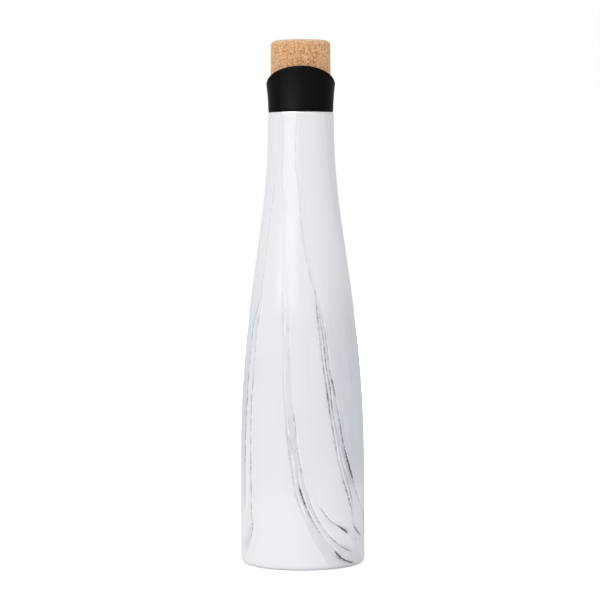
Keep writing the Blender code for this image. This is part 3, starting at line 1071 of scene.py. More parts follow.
@dataclass(frozen=True)
class Finishes:
    """Every material, made once."""

    paint: Material = field(default_factory=MarblePaint().make)
    steel: Material = field(default_factory=SpunSteel().make)
    copper: Material = field(default_factory=CopperFoil().make)
    glass: Material = field(default_factory=SolderGlass().make)
    powder: Material = field(default_factory=PressedPowder().make)
    silicone: Material = field(default_factory=Silicone().make)
    collar: Material = field(default_factory=SATIN_BLACK.make)
    insert: Material = field(default_factory=MOULDED_INSERT.make)
    cork: Material = field(default_factory=PressedCork().make)


# The marble's veins


class Seen(Enum):
    """How a vein's places are given."""

    FRONT = "millimetres across and up, as the eye in front sees them"
    ROUND = "degrees round the axis, and millimetres up"


@dataclass(frozen=True)
class Eye:
    """Where the photograph's view of the carafe is taken from.

    Attributes:
        distance: from the carafe's axis, straight in front.
        height: above the table.
        aside: how far the eye is to the right of the axis.
        tilt: how far it looks down, in degrees.
        roll: how far it leans to the right, in degrees.
        lens_mm: focal length, on a frame 36 mm wide.
        sight: how far it sees.
        rounds: how often the sum for a place on the surface is repeated.
        edge: the sine of the largest angle, which stands for places past the outline.
    """

    distance: float = 1.401
    height: float = 0.2305
    aside: float = -0.00107
    tilt: float = 2.66
    roll: float = -0.27
    lens_mm: float = 133.6
    sight: float = 50.0
    rounds: int = 8
    edge: float = 0.998

    def on_surface(self, across: Array, up: Array, profile: Array) -> tuple[Array, Array]:
        """Find the angle and height of what the eye sees on a round surface.

        What is nearer than the axis looks larger. So a place at distance n in front of the axis is
        really across * (1 - n / distance) from the middle, and its height differs from the eye's by
        the same share. n depends on the answer, so the sum is repeated until it settles.

        Args:
            across: distance from the axis to the right, as seen in the plane of the axis.
            up: height, as seen in the plane of the axis.
            profile: the surface's (radius, height) points, rising.

        Returns:
            Angles in radians, and heights.
        """
        angle, height = np.zeros_like(across), up.copy()
        for _ in range(self.rounds):
            radius = np.interp(height, profile[:, 1], profile[:, 0])
            nearer = 1.0 - radius * np.cos(angle) / self.distance
            height = self.height - (self.height - up) * nearer
            angle = np.arcsin(np.clip(across * nearer / radius, -self.edge, self.edge))
        return angle, height

    def place_camera(self) -> None:
        """Make the camera and use it."""
        data = bpy.data.cameras.new("camera")
        data.lens = self.lens_mm
        data.clip_end = self.sight
        camera = bpy.data.objects.new("camera", data)
        where = Matrix.Translation((self.aside, -self.distance, self.height))
        tilt = Matrix.Rotation(math.radians(90.0 - self.tilt), 4, "X")
        roll = Matrix.Rotation(math.radians(self.roll), 4, "Z")
        camera.matrix_world = where @ (tilt @ roll)
        bpy.context.scene.collection.objects.link(camera)
        bpy.context.scene.camera = camera


@dataclass(frozen=True)
class Vein:
    """One vein of the marble, with the grey beside it.

    Attributes:
        route: the vein's places.
        marks: rows of (millimetres up, darkness of the line, grey on its left, grey on its right), from
            0 to 1.
        seen: how the route and the marks' heights are given.
    """

    route: tuple[Point, ...]
    marks: tuple[tuple[float, float, float, float], ...]
    seen: Seen = Seen.FRONT

    def drawn(self, heights: Array, eye: Eye, profile: Array) -> tuple[Array, Array]:
        """Draw the vein on the surface, with smooth curves through its places and marks.

        Args:
            heights: heights to draw it at.
            eye: the eye in front.
            profile: the surface's (radius, height) points, rising.

        Returns:
            The vein's angle at each height, and the three marks at each height, (3, heights).
        """
        first, up = np.array(sorted(self.route, key=lambda place: place[1])).T
        rows = np.array(sorted(self.marks))
        if self.seen is Seen.FRONT:
            angle, height = eye.on_surface(first * MM, up * MM, profile)
        else:
            angle, height = np.radians(first), up * MM
        levels = np.interp(rows[:, 0], up, height)[:, None]
        marks = smooth_through(np.tile(heights[:, None], (1, 3)), np.tile(levels, (1, 3)), rows[:, 1:])
        return smooth_through(heights[:, None], height[:, None], angle[:, None])[:, 0], marks.T


# From the back round by the left, the front and the right
VEINS = (
    # Back, on the left
    Vein(((-168, 0), (-160, 60), (-155, 130), (-150, 200), (-146, 283)),
         ((0, 0, 0, .2), (40, .3, 0, .35), (90, .15, 0, .3), (140, .3, 0, .15),
          (200, .1, 0, 0)), Seen.ROUND),
    # Behind, on the left
    Vein(((-141, 0), (-138, 40), (-131, 90), (-127, 150), (-122, 283)),
         ((0, .6, .4, .2), (25, .7, .5, .3), (60, .25, .5, .1), (110, .4, .35, .05), (160, .2, .2, 0),
          (230, 0, 0, 0)), Seen.ROUND),
    # Left side, behind
    Vein(((-120, 0), (-112, 40), (-108, 90), (-104, 150), (-96, 210), (-88, 283)),
         ((0, .2, .1, .4), (40, .5, .1, .6), (90, .3, .15, .65), (150, .35, .1, .4), (210, .2, 0, .1),
          (260, 0, 0, 0)), Seen.ROUND),
    # Left side
    Vein(((-86, 0), (-85, 100), (-80, 160), (-70, 220), (-62, 283)),
         ((4, .25, .1, .1), (18, 0, .05, .05), (32, .45, .1, .1), (42, .1, .2, .2), (90, .1, .25, .25),
          (150, .1, .2, .2), (210, 0, .05, .05)), Seen.ROUND),
    # Front, left edge: outer line
    Vein(((-15.5, 283), (-16.7, 240.8), (-21.2, 202.9), (-25.1, 171.3), (-30.9, 146), (-33.1, 123.2),
          (-35.1, 95.4), (-36, 72.7), (-36.3, 38.6), (-36.7, 10.1), (-36.9, 2)),
         ((262, 0, 0, 0), (244, .14, 0, 0), (220, .16, 0, 0), (203, .16, 0, 0), (185, .18, .03, 0),
          (165, .24, .13, 0), (152, .3, .26, .3), (140, .34, .27, .2), (123, .42, .4, .13),
          (95, .48, .45, .11), (73, .48, .38, .06), (55, .36, .34, 0), (39, .25, .3, 0), (32, .15, .06, 0),
          (25, .1, 0, 0), (17, 0, 0, 0), (12, 0, .2, .28), (8, 0, .1, .2), (4, 0, 0, 0))),
    # Front, left edge: inner line
    Vein(((-14.4, 283), (-15.5, 240), (-25.1, 165), (-28.4, 143.5), (-30.5, 117.6), (-32, 101.1),
          (-32.5, 82.8), (-32.5, 38.6), (-31.9, 19.6), (-34.5, 8.2), (-35.2, 2)),
         ((185, 0, 0, 0), (160, .1, .1, 0), (152, .2, .3, .02), (143, .22, .2, .03), (127, .26, .1, .08),
          (117, .3, .13, .1), (95, .38, .1, .09), (83, .38, .1, .09), (70, .42, .05, .07),
          (48, .42, 0, .05), (39, .4, .05, .03), (30, .5, .08, 0), (24, .55, .1, 0), (20, .5, .3, 0),
          (17, .35, .35, 0), (13, .1, .42, 0), (8, 0, .2, 0), (4, 0, 0, 0))),
    # Front, the bend to the right: left line
    Vein(((-11.5, 283), (-11.6, 244), (-11.1, 220), (-11.8, 190), (-12.1, 149.2), (-12.2, 112.5),
          (-10, 79.6), (-8.1, 65.1), (-6.5, 54.4), (-5.4, 46), (-3.4, 38.6), (-1.2, 32.2), (.8, 25.9),
          (3.7, 19.6), (6.3, 13.3), (10.4, 6.9), (14, .6), (16.8, -4.2)),
         ((283, .12, 0, .02), (244, .14, 0, .03), (225, .1, 0, .05), (212, .05, 0, .06), (195, .09, 0, .08),
          (178, .08, 0, .1), (165, .13, .03, .15), (150, .13, .04, .17), (146, .14, .03, .15),
          (140, .05, .02, .13), (127, .06, .03, .15), (114, .1, .04, .17), (102, .05, .04, .19),
          (89, .08, .05, .33), (76, .18, .05, .38), (66, .24, .06, .33), (60, .12, .07, .34),
          (54, .2, .07, .36), (45, .2, .05, .33), (39, .2, .02, .33), (32, .1, 0, .3), (26, 0, 0, .26),
          (13, 0, 0, .27), (7, 0, 0, .32), (1, 0, 0, .2), (-4, 0, 0, .2))),
    # Front, the bend to the right: middle line
    Vein(((-9.5, 283), (-10.5, 201.6), (-9, 165), (-8.4, 136.5), (-7.6, 115), (-6.2, 95.4), (-4.7, 76.5),
          (-2.8, 50.6), (.2, 39.2), (5.9, 25.9), (12, 15.8), (21.1, 5.1), (23.7, 1.9), (28.7, -.6),
          (33.1, -1.3)),
         ((240, 0, .03, .02), (203, .1, .06, .02), (178, .05, .09, .08), (165, .05, .12, .1),
          (150, .1, .12, .07), (146, .18, .12, .06), (140, .1, .12, .05), (128, .15, .18, .13),
          (122, .1, .2, .14), (102, .1, .22, .12), (89, .1, .33, .15), (76, .1, .34, .22),
          (64, .1, .3, .27), (56, .15, .3, .3), (50, .2, .3, .28), (46, .6, .3, .26), (41, .85, .3, .24),
          (37, .9, .3, .22), (33, .5, .3, .2), (26, .45, .3, .18), (19, .3, .25, .2), (14, .1, .24, .2),
          (6.5, 0, .25, .28), (5, .85, .3, .28), (1.5, 1, .36, .26), (-1, .9, .36, .26), (-3, 0, .3, .26))),
    # Front, the bend to the right: right line
    Vein(((-6.5, 283), (-6.5, 201), (-5.4, 86.6), (-3.1, 68.9), (-.2, 54.4), (2.2, 44.9), (5.2, 35.4),
          (8.2, 28.4), (12, 21.5), (16.6, 15.8), (20.4, 12.2), (23.7, 9.5), (26.8, 7.6), (30.4, 6),
          (33, 5)),
         ((203, 0, 0, .02), (165, 0, .06, .06), (140, 0, .05, .06), (127, 0, .14, .07), (114, 0, .12, .08),
          (100, 0, .12, .1), (88, .4, .15, .14), (83, .3, .17, .15), (69, .25, .27, .16),
          (58, .3, .33, .15), (50, .1, .3, .14), (42, .25, .27, .12), (35, .35, .22, .07),
          (28, .35, .19, .06), (20, .15, .17, .02), (16.5, .35, .24, .02), (13, .5, .27, .03),
          (11.4, .7, .25, .05), (10, .35, .23, .08), (8.6, .9, .22, .14), (6.6, .8, .2, .22),
          (5.4, .1, .2, .24), (2, 0, .2, .24))),
    # Front, the short line above the bend's end
    Vein(((-4, 283), (-4.6, 250), (-1.2, 205), (3.5, 170), (6, 86), (9.2, 36.7), (12.4, 32), (15.5, 27.4),
          (19.3, 24), (22.5, 22.2), (25.6, 20), (28.2, 17.8), (32, 11), (34, 4)),
         ((190, 0, 0, 0), (165, 0, .05, .06), (114, 0, .1, .08), (89, 0, .11, .11), (64, 0, .11, .1),
          (51, 0, .09, .06), (45, 0, .08, .03), (37, .08, .05, 0), (30, .4, .06, 0), (26, .3, .08, 0),
          (23.5, .3, .06, 0), (21.5, .7, .04, .02), (19.7, 1, .03, .05), (18.3, .8, .03, .1),
          (17, .05, 0, .12), (13, 0, 0, .15), (7, 0, .1, .24), (2, 0, .2, .2))),
    # Front, the band on the right: left line
    Vein(((-2.3, 283.1), (-3.3, 265.4), (-3.4, 250.3), (-1.8, 237), (.9, 205.4), (5.9, 178.9), (8.6, 170),
          (9.6, 156.7), (12, 133.4), (14.8, 113.1), (16.1, 104.3), (17.6, 93.5), (20.4, 76.5), (22.4, 63.8),
          (25, 53.3), (27.2, 46.3), (29.7, 37.9), (31, 33), (32.6, 19.6), (34.5, 8), (35.4, 2)),
         ((283, .12, 0, .05), (250, .18, 0, .08), (227, .15, 0, .1), (212, .11, .08, .11),
          (203, .12, .1, .12), (190, .15, .06, .08), (178, .2, .12, .09), (165, .3, .13, .2),
          (157, .45, .1, .3), (148, .28, .08, .31), (136, .3, .08, .32), (120, .4, .07, .42),
          (108, .5, .1, .4), (104, .8, .1, .38), (97, .5, .12, .38), (84, .45, .13, .38),
          (76, .45, .1, .36), (63, .2, .08, .33), (54, .2, .03, .36), (47, .55, .06, .45),
          (38, .6, .07, .45), (33, .4, .06, .35), (28, .2, 0, .2), (23, .35, 0, .12), (18, .15, .1, .14),
          (14.8, .05, .14, .14), (13.4, .85, .15, .14), (12, 0, .15, .14), (4, 0, .2, .15))),
    # Front, the band on the right: middle line
    Vein(((0, 283), (-1.2, 250), (2.6, 205), (10.2, 163.1), (11.5, 153.6), (13.6, 139.7), (15.4, 122),
          (17.3, 111.9), (19.2, 94.2), (21.6, 81.5), (24.6, 63.8), (29.2, 48.7), (30.7, 41.1), (32.5, 27),
          (32.2, 21.6), (33.9, 19.2), (36, 16.4), (36.5, 8), (36.9, 2)),
         ((200, 0, .05, .05), (165, .1, .15, .1), (154, .2, .32, .28), (145, .3, .27, .27),
          (137, .36, .27, .27), (128, .5, .38, .33), (115, .35, .4, .33), (107, .5, .4, .33),
          (94, .35, .38, .33), (82, .2, .36, .38), (70, .05, .36, .48), (58, .15, .36, .55),
          (51, .3, .45, .55), (47, .45, .45, .35), (42, .4, .45, .22), (36, .1, .35, .12), (28, 0, .2, .04),
          (24, .1, .14, .03), (21, .9, .14, .06), (17, 1, .14, .08), (15, .1, .14, .04), (13, .5, .14, .02),
          (11, 0, .14, 0), (2, 0, .15, 0))),
    # Front, the band on the right: right line
    Vein(((2.5, 283), (1.5, 250), (5, 205), (11.7, 159.9), (13.1, 153.6), (14.6, 143.5), (16.9, 122),
          (19.6, 110.6), (21.1, 101.8), (22.9, 91.6), (25.1, 78.4), (27.8, 66.4), (30.9, 55), (33.6, 44.9),
          (35.8, 37.9), (37.6, 31), (38.3, 15), (38.4, 2)),
         ((205, 0, .05, .02), (190, 0, .05, .02), (178, .03, .06, .03), (165, .05, .08, .06),
          (154, .15, .27, .15), (143, .3, .27, .25), (136, .25, .28, .28), (122, .3, .3, .31),
          (111, .6, .32, .31), (106, .5, .32, .32), (102, .35, .32, .33), (92, .35, .33, .36),
          (82, .45, .4, .4), (73, .45, .5, .43), (68, .65, .52, .42), (60, 1, .5, .38), (55, 1, .5, .33),
          (51, .5, .45, .25), (45, .35, .25, .05), (39, .35, .12, 0), (32, .3, .04, 0), (26, .2, 0, 0),
          (15, .05, 0, 0), (2, 0, 0, 0))),
    # Right side. Its grey on the right, up the neck above about 205 mm, is painted shade that darkens the
    # neck's right edge
    Vein(((86, 0), (82, 12), (80, 35), (80, 120), (60, 200), (45, 283)),
         ((0, 0, 0, .2), (17, .3, 0, .2), (20, 1, 0, .2), (31, 1, 0, .2), (35, .1, 0, .2),
          (47, 0, .04, .25), (55, 0, .2, .3), (64, 0, .3, .35), (89, 0, .33, .35), (120, 0, .38, .35),
          (140, 0, .34, .3), (152, 0, .30, .2), (165, 0, .22, .1), (178, 0, .13, .05), (190, 0, .04, .04),
          (205, 0, .02, .07), (225, 0, .02, .12), (283, 0, .02, .14)), Seen.ROUND),
    # Right side, behind. Its grey on the left, up the neck, is the same painted shade
    Vein(((112, 0), (108, 60), (102, 120), (92, 170), (80, 210), (68, 283)),
         ((0, .3, .45, .15), (20, .6, .5, .2), (60, .35, .65, .25), (100, .5, .65, .25),
          (140, .3, .45, .15), (190, .25, .15, 0), (240, 0, .1, 0), (283, 0, .12, 0)), Seen.ROUND),
    # Behind, on the right
    Vein(((128, 0), (119, 60), (109, 120), (100, 170), (92, 210), (80, 283)),
         ((0, .7, .3, .2), (30, .4, .45, .25), (60, .75, .45, .25), (75, .3, .4, .1), (120, .4, .25, .05),
          (170, .2, .1, 0), (220, 0, 0, 0)), Seen.ROUND),
    # Back, on the right
    Vein(((150, 0), (146, 40), (136, 90), (128, 150), (118, 210), (104, 283)),
         ((0, .2, .4, .05), (40, .45, .45, .05), (90, .25, .3, 0), (150, .3, .15, 0), (210, .15, 0, 0),
          (260, 0, 0, 0)), Seen.ROUND),
)


@dataclass(frozen=True)
class Marble:
    """The veins laid over the painted shell.

    Attributes:
        veins: the veins, in the order of their angles.
        eye: the eye that sees those in front.
        closest: the least angle between two veins, in radians.
        least_rise: the least rise of the vein number in a radian, which keeps lines from swelling.
        changeover: the share between two veins over which a side's tone goes from one to the other.
        least_step: added to the steps along the outline, so that none is zero.
    """

    veins: tuple[Vein, ...] = VEINS
    eye: Eye = Eye()
    closest: float = 0.012
    least_rise: float = 0.4
    changeover: float = 0.3
    least_step: float = 1e-9

    def lay(self, grid: Turned, profile: Array, painted: Array) -> tuple[Array, dict[str, Array]]:
        """Work out the grain and its marks at every point of the shell.

        At each height, the vein number is a smooth rising curve of the angle, which passes through
        each vein's whole number at the vein's angle. A mark between two veins is eased from one to
        the other by the fraction of the number. The left tone changes over just after a vein and the
        right tone just before one, where the paint gives them little weight. The millimetres to one
        vein number are 1 / (1000 * hypot(a, b)), where a and b are the number's rise in a metre
        round the shell and in a metre along the outline.

        Args:
            grid: the shell's grid.
            profile: the painted surface's (radius, height) points, rising.
            painted: 1 where the outline is painted, 0 inside the shell.

        Returns:
            The map "grain", and the marks "tone" and "stroke".
        """
        heights = grid.height[0]
        count = len(self.veins)
        drawn = [vein.drawn(heights, self.eye, profile) for vein in self.veins]
        veins = np.stack([angles for angles, _ in drawn])
        apart = self.closest * np.arange(count)[:, None]
        veins = np.maximum.accumulate(veins - apart, axis=0) + apart
        edge = np.full((1, len(heights)), math.pi)
        knots = np.concatenate((-edge, veins, edge))
        numbers = np.tile(np.arange(-1.0, count + 1.0)[:, None], (1, len(heights)))
        turn = np.concatenate((grid.angle, [[math.pi]]))
        number = smooth_through(np.tile(turn, (1, len(heights))), knots, numbers)
        step = np.hypot(np.diff(grid.radius[0], prepend=0.0), np.diff(heights, prepend=0.0)) + self.least_step
        rise = np.maximum(np.gradient(number, turn[:, 0], axis=0), self.least_rise)
        spread = 1.0 / MM / np.hypot(rise / grid.radius[:1], np.gradient(number, np.cumsum(step), axis=1))

        rows = np.stack([marks for _, marks in drawn], axis=1)
        rows = np.pad(rows, ((0, 0), (1, 1), (0, 0))) * painted
        below = np.clip(np.floor(number), -1, count - 1).astype(int)
        spans = ((0.0, 1.0), (0.0, self.changeover), (1.0 - self.changeover, 1.0))
        ink, left, right = (
            (1 - share) * np.take_along_axis(row, below + 1, axis=0)
            + share * np.take_along_axis(row, below + 2, axis=0)
            for share, row in zip((eased(number - below, *span) for span in spans), rows))
        grain = np.stack((number, np.broadcast_to(heights, number.shape)), axis=-1)
        grain = np.concatenate((grain, grain[:, :1]), axis=1)
        tone = np.stack((left, right, np.zeros_like(ink)), axis=-1)[:-1]
        stroke = np.stack((ink, spread, np.zeros_like(ink)), axis=-1)[:-1]
        return grain, {"tone": tone, "stroke": stroke}


# The carafe's sub-assemblies


class Angles(IntEnum):
    """How many angles a piece has round its axis."""

    CORK = 288
    SHELL = 232
    WIDE = 192
    PLAIN = 128
    HIDDEN = 96
    SMALL = 64
    BEAD = 48


@dataclass(frozen=True)
class Thread:
    """A rounded right-handed screw thread on a round wall.

    Attributes:
        low, high: heights where the thread starts and ends.
        fade: height over which it grows to full depth at either end.
        pitch: rise of one turn.
        depth: depth of the groove between crests.
        steepness: how far the wave goes past its flat top and bottom before it is clipped.
    """

    low: float
    high: float
    fade: float = 0.0012
    pitch: float = 0.0030
    depth: float = 0.00055
    steepness: float = 1.7

    def cut(self, grid: Turned, wall: Array) -> Turned:
        """Cut the thread into a wall.

        The groove is depth * (1 - crest) / 2 deep, where crest is a steep wave of (height - pitch *
        angle / full turn) / pitch, clipped flat at its top and bottom. It fades at both ends.

        Args:
            grid: the piece's grid.
            wall: 1 where the grid is the threaded wall, 0 elsewhere.

        Returns:
            The grid with its thread.
        """
        height = grid.height
        phase = math.tau * height / self.pitch - grid.angle
        crest = np.clip(self.steepness * np.cos(phase), -1.0, 1.0)
        grown = eased(height, self.low, self.low + self.fade)
        inside = grown * (1 - eased(height, self.high - self.fade, self.high))
        return Turned(grid.radius - wall * (self.depth * 0.5 * (1 - crest) * inside), height, True)


@dataclass
class Vessel:
    """The welded vacuum bottle: painted shell, steel liner, and what lies between them.

    Attributes:
        lower_pull, upper_pull: lengths of the handles of the shoulder's curve.
        weld: share of that curve below the weld in the liner.
        hem: height of the edge turned up inside the foot.
        vent, stub: radii of the evacuation hole and of the glass in it.
        dimple, dimple_slope, dimple_depth: the dimple's radius, its side's width and its depth.
        panel, panel_slope, panel_rise: the same of the cover's pressed middle.
        turn: inner radius where the neck turns out into the lip.
        bead_gap: how far the lip's bead stays clear of the shell's edge.
        thread_below, thread_end: how far the thread starts below the shoulder's top, and ends below
            the lip.
        wrinkle: how far the foil is wrinkled.
    """

    finishes: Finishes
    body: Reach = reach_of("outer_shell")
    mouth: Reach = reach_of("liner_neck")
    disc: Reach = reach_of("base_cover")
    cup: Reach = reach_of("liner_base")
    straight: float = 0.0610
    shoulder_rise: float = 0.2145
    lower_pull: float = 0.1012
    upper_pull: float = 0.0656
    weld: float = 0.5
    neck_radius: float = 0.0207
    foot_rounding: float = 0.0033
    hem: float = 0.0040
    vacuum: float = 0.0030
    vent: float = 0.0015
    dimple: float = 0.0090
    dimple_slope: float = 0.0020
    dimple_depth: float = 0.0022
    stub: float = 0.0012
    panel: float = 0.0255
    panel_slope: float = 0.0012
    panel_rise: float = 0.00018
    turn: float = 0.0006
    bead_gap: float = 0.00002
    thread_below: float = 0.0105
    thread_end: float = 0.0022
    cup_corner: float = 0.0045
    foil: float = 0.00015
    wrinkle: float = 0.00004
    tray: float = 0.0004

    @property
    def hem_radius(self) -> float:
        """Radius of the edge turned up inside the foot."""
        return self.disc.radius + FIT

    @property
    def inset(self) -> float:
        """How far the liner's outside is inside the shell's outside."""
        return SHEET + self.vacuum

    def shoulder(self, inset: float, steps: int, first: float = 0.0, last: float = 1.0) -> Array:
        """Points of the S-curved shoulder, moved in square to the curve.

        The curve is a cubic Bezier, (1-t)3 a + 3(1-t)2 t b + 3(1-t) t2 c + t3 d. Its handles b and c
        are straight above a and straight below d, so it starts and ends upright.

        Args:
            inset: how far to move in.
            steps: number of runs.
            first: share of the curve to start at.
            last: share of the curve to end at.

        Returns:
            Rising (radius, height) points.
        """
        start = np.array((self.body.radius, self.straight))
        end = np.array((self.neck_radius, self.straight + self.shoulder_rise))
        lower, upper = start + (0.0, self.lower_pull), end - (0.0, self.upper_pull)
        t = np.linspace(first, last, steps + 1)[:, None]
        rest = 1 - t
        point = rest ** 3 * start + 3 * rest ** 2 * t * lower + 3 * rest * t ** 2 * upper + t ** 3 * end
        way = rest ** 2 * (lower - start) + 2 * rest * t * (upper - lower) + t ** 2 * (end - upper)
        way /= np.linalg.norm(way, axis=1)[:, None]
        return point + inset * np.column_stack((-way[:, 1], way[:, 0]))

    def lower_half(self, low: float, insets: tuple[float, float], steps: int, angles: int) -> Turned:
        """Make a tube that follows the body from a height up to the weld in the shoulder.

        Args:
            low: its lowest height.
            insets: how far each of its two faces is inside the shell's outside.
            steps: number of runs along the shoulder.
            angles: number of angles.

        Returns:
            The tube's grid.
        """
        near, far = (np.concatenate(([(self.body.radius - inset, low)],
                                     self.shoulder(inset, steps, last=self.weld))) for inset in insets)
        return Turned.of(sharp(near) + sharp(far[::-1]), angles, spacing=0.003)

    def painted_shell(self) -> Piece:
        """Make the painted body: hem, rounded foot, straight wall, shoulder and neck, and the bare inside.

        Returns:
            The piece.
        """
        radius, rounding, top, hem = self.body.radius, self.foot_rounding, self.body.high, self.hem_radius
        foot = (radius - rounding, rounding)
        outside = np.concatenate((arc(foot, rounding, -90, 0, 10), self.shoulder(0.0, 130),
                                  [(self.neck_radius, top - CRISP)]))
        inside = np.concatenate((arc(foot, rounding - SHEET, -90, 0, 5), self.shoulder(SHEET, 40)))
        corners = [(hem, self.hem, CRISP), (hem, 0.0, FOLD)] + sharp(outside)
        corners += [(self.neck_radius, top, 0.5 * CRISP), (self.neck_radius - SHEET, top, 0.0)]
        corners += sharp(inside[::-1]) + [(hem + SHEET, SHEET, 0.0), (hem + SHEET, self.hem, CRISP)]
        grid = Turned.of(corners, Angles.SHELL, spacing=0.0018)
        depth = grid.radius[0] - np.interp(grid.height[0], inside[:, 1], inside[:, 0])
        grain, marks = Marble().lay(grid, outside, eased(depth, 0.2 * SHEET, 0.8 * SHEET))
        return skin("painted_shell", grid, grain=grain, marks=marks)

    def base(self) -> Piece:
        """Make the pressed cup inside the foot, with a dimple round the evacuation hole.

        Returns:
            The piece.
        """
        reach, radius = Reach.of("outer_base"), self.disc.radius
        roof = reach.low + self.dimple_depth
        under = [(radius, reach.high, 0.0), (radius, reach.low, PRESSED), (self.dimple, reach.low, PRESSED),
                 (self.dimple - self.dimple_slope, roof, PRESSED), (self.vent, roof, CRISP)]
        over = [(r - (SHEET if index < 2 else 0.0), z + (SHEET if index else 0.0), PRESSED)
                for index, (r, z, _) in enumerate(under)]
        return skin("shell_base", Turned.of(under + over[::-1], Angles.HIDDEN, spacing=0.002))

    def bead(self) -> Piece:
        """Make the glass bead: a dome under the hole, r2 / a2 + z2 / b2 = 1, and a stub in the hole.

        Returns:
            The piece.
        """
        reach = Reach.of("evacuation_seal")
        ceiling = reach.high - SHEET - FIT
        dome = arc((0.0, 0.0), 1.0, -90, 0, 10) * (reach.radius, ceiling - reach.low) + (0.0, ceiling)
        corners = sharp(dome[:-1]) + [(reach.radius, ceiling, FINE), (self.stub, ceiling, FINE),
                                      (self.stub, reach.high, BROKEN), (0.0, reach.high, 0.0)]
        return skin("solder_bead", Turned.of(corners, Angles.BEAD, spacing=0.0008))

    def cover(self) -> Piece:
        """Make the disc over the base: its middle is pressed in a little, and its edge is rounded.

        Returns:
            The piece.
        """
        low, high, radius = self.disc.low, self.disc.high, self.disc.radius
        middle = low + self.panel_rise
        corners = [(0.0, middle, 0.0), (self.panel - self.panel_slope, middle, PRESSED),
                   (self.panel, low, PRESSED), (radius, low, FINE), (radius, high, FINE), (0.0, high, 0.0)]
        return skin("cover_disc", Turned.of(corners, Angles.PLAIN, spacing=0.0015))

    def liner(self) -> Piece:
        """The liner's wall, up to the weld in the shoulder."""
        insets = (self.inset, self.inset + SHEET)
        return skin("liner_tube", self.lower_half(Reach.of("liner_wall").low, insets, 60, Angles.PLAIN))

    def neck(self) -> Piece:
        """Make the liner's neck, with the thread rolled into its sheet, and a bead round its lip.

        The bead is rolled down on the shell's edge, as the weld between the two leaves it.

        Returns:
            The piece.
        """
        top, bore = self.mouth.high, self.neck_radius - self.inset - SHEET
        outside, inside = (self.shoulder(inset, 60, first=self.weld)
                           for inset in (self.inset, self.inset + SHEET))
        outside[0, 1] = inside[0, 1] = Reach.of("liner_wall").high + FIT
        bead = 0.5 * (top - self.body.high) - self.bead_gap
        outer_turn = self.turn + SHEET
        throat_heights = np.linspace(inside[-1, 1] + CRISP, top - outer_turn - CRISP, 90)
        throat = np.column_stack((np.full(90, bore), throat_heights))
        outline = np.concatenate((
            outside, throat[1:-4] + (SHEET, 0.0),
            arc((bore + SHEET + self.turn, top - outer_turn), self.turn, 180, 90, 4),
            [(self.neck_radius - 2 * bead, top - SHEET)],
            arc((self.neck_radius - bead, top - bead), bead, -90, 90, 10),
            arc((bore + outer_turn, top - outer_turn), outer_turn, 180, 90, 6)[::-1],
            throat[::-1], inside[::-1]))
        grid = Turned.of(sharp(outline), Angles.PLAIN, spacing=0.003)
        wall = 1 - eased(grid.radius, bore + SHEET + CRISP, bore + SHEET + FOLD)
        thread = Thread(self.straight + self.shoulder_rise - self.thread_below, top - self.thread_end)
        return skin("liner_mouth", thread.cut(grid, wall))

    def bottom(self) -> Piece:
        """Make the liner's bottom, a cup with a round corner.

        Returns:
            The piece.
        """
        low, high, radius, corner = self.cup.low, self.cup.high, self.cup.radius, self.cup_corner
        under = [(0.0, low, 0.0), (radius, low, corner), (radius, high, 0.0)]
        over = [(radius - SHEET, high, 0.0), (radius - SHEET, low + SHEET, corner - SHEET),
                (0.0, low + SHEET, 0.0)]
        return skin("liner_cup", Turned.of(under + over, Angles.HIDDEN, spacing=0.0015, steps=8))

    def foil_sleeve(self) -> Piece:
        """Make the copper foil round the liner.

        It is wrinkled lengthways by sin(23 a + 90 h) * sin(7 a - 140 h) of angle a and height h.

        Returns:
            The piece.
        """
        inset = self.inset - FIT
        grid = self.lower_half(Reach.of("foil_wrap").low, (inset, inset - self.foil), 50, Angles.WIDE)
        folds = np.sin(23 * grid.angle + 90 * grid.height) * np.sin(7 * grid.angle - 140 * grid.height)
        return skin("foil_sleeve", Turned(grid.radius + self.wrinkle * folds, grid.height, True))

    def getter(self) -> list[tuple[Piece, str, Material]]:
        """Make the tray under the liner's bottom and the tablet in it, off the axis.

        Returns:
            Each piece with its node and its material.
        """
        pellet, clip = Reach.of("getter_pellet"), Reach.of("getter_clip")
        tablet = [(0.0, pellet.low, 0.0), (pellet.radius, pellet.low, BROKEN),
                  (pellet.radius, pellet.high, BROKEN), (0.0, pellet.high, 0.0)]
        well, flange, sheet = pellet.radius + FIT, clip.high - self.tray, self.tray
        tray = [(0.0, clip.low, 0.0), (well + sheet, clip.low, BROKEN), (well + sheet, flange, BROKEN),
                (clip.radius, flange, CRISP), (clip.radius, clip.high, CRISP), (well, clip.high, BROKEN),
                (well, clip.low + sheet, CRISP), (0.0, clip.low + sheet, 0.0)]
        made = []
        for name, node, corners, finish in (("getter_tablet", "getter_pellet", tablet, self.finishes.powder),
                                            ("getter_tray", "getter_clip", tray, self.finishes.steel)):
            grid = Turned.of(corners, Angles.SMALL, spacing=0.0006)
            made.append((skin(name, grid, points=grid.points() + (pellet.aside, 0.0, 0.0)), node, finish))
        return made

    def build(self) -> None:
        """Build and dress the vessel's pieces."""
        steel = self.finishes.steel
        for piece, node, finish in (
                (self.painted_shell(), "outer_shell", self.finishes.paint),
                (self.base(), "outer_base", steel), (self.bead(), "evacuation_seal", self.finishes.glass),
                (self.cover(), "base_cover", steel), (self.liner(), "liner_wall", steel),
                (self.neck(), "liner_neck", steel), (self.bottom(), "liner_base", steel),
                (self.foil_sleeve(), "foil_wrap", self.finishes.copper), *self.getter()):
            settle(piece, node, finish)


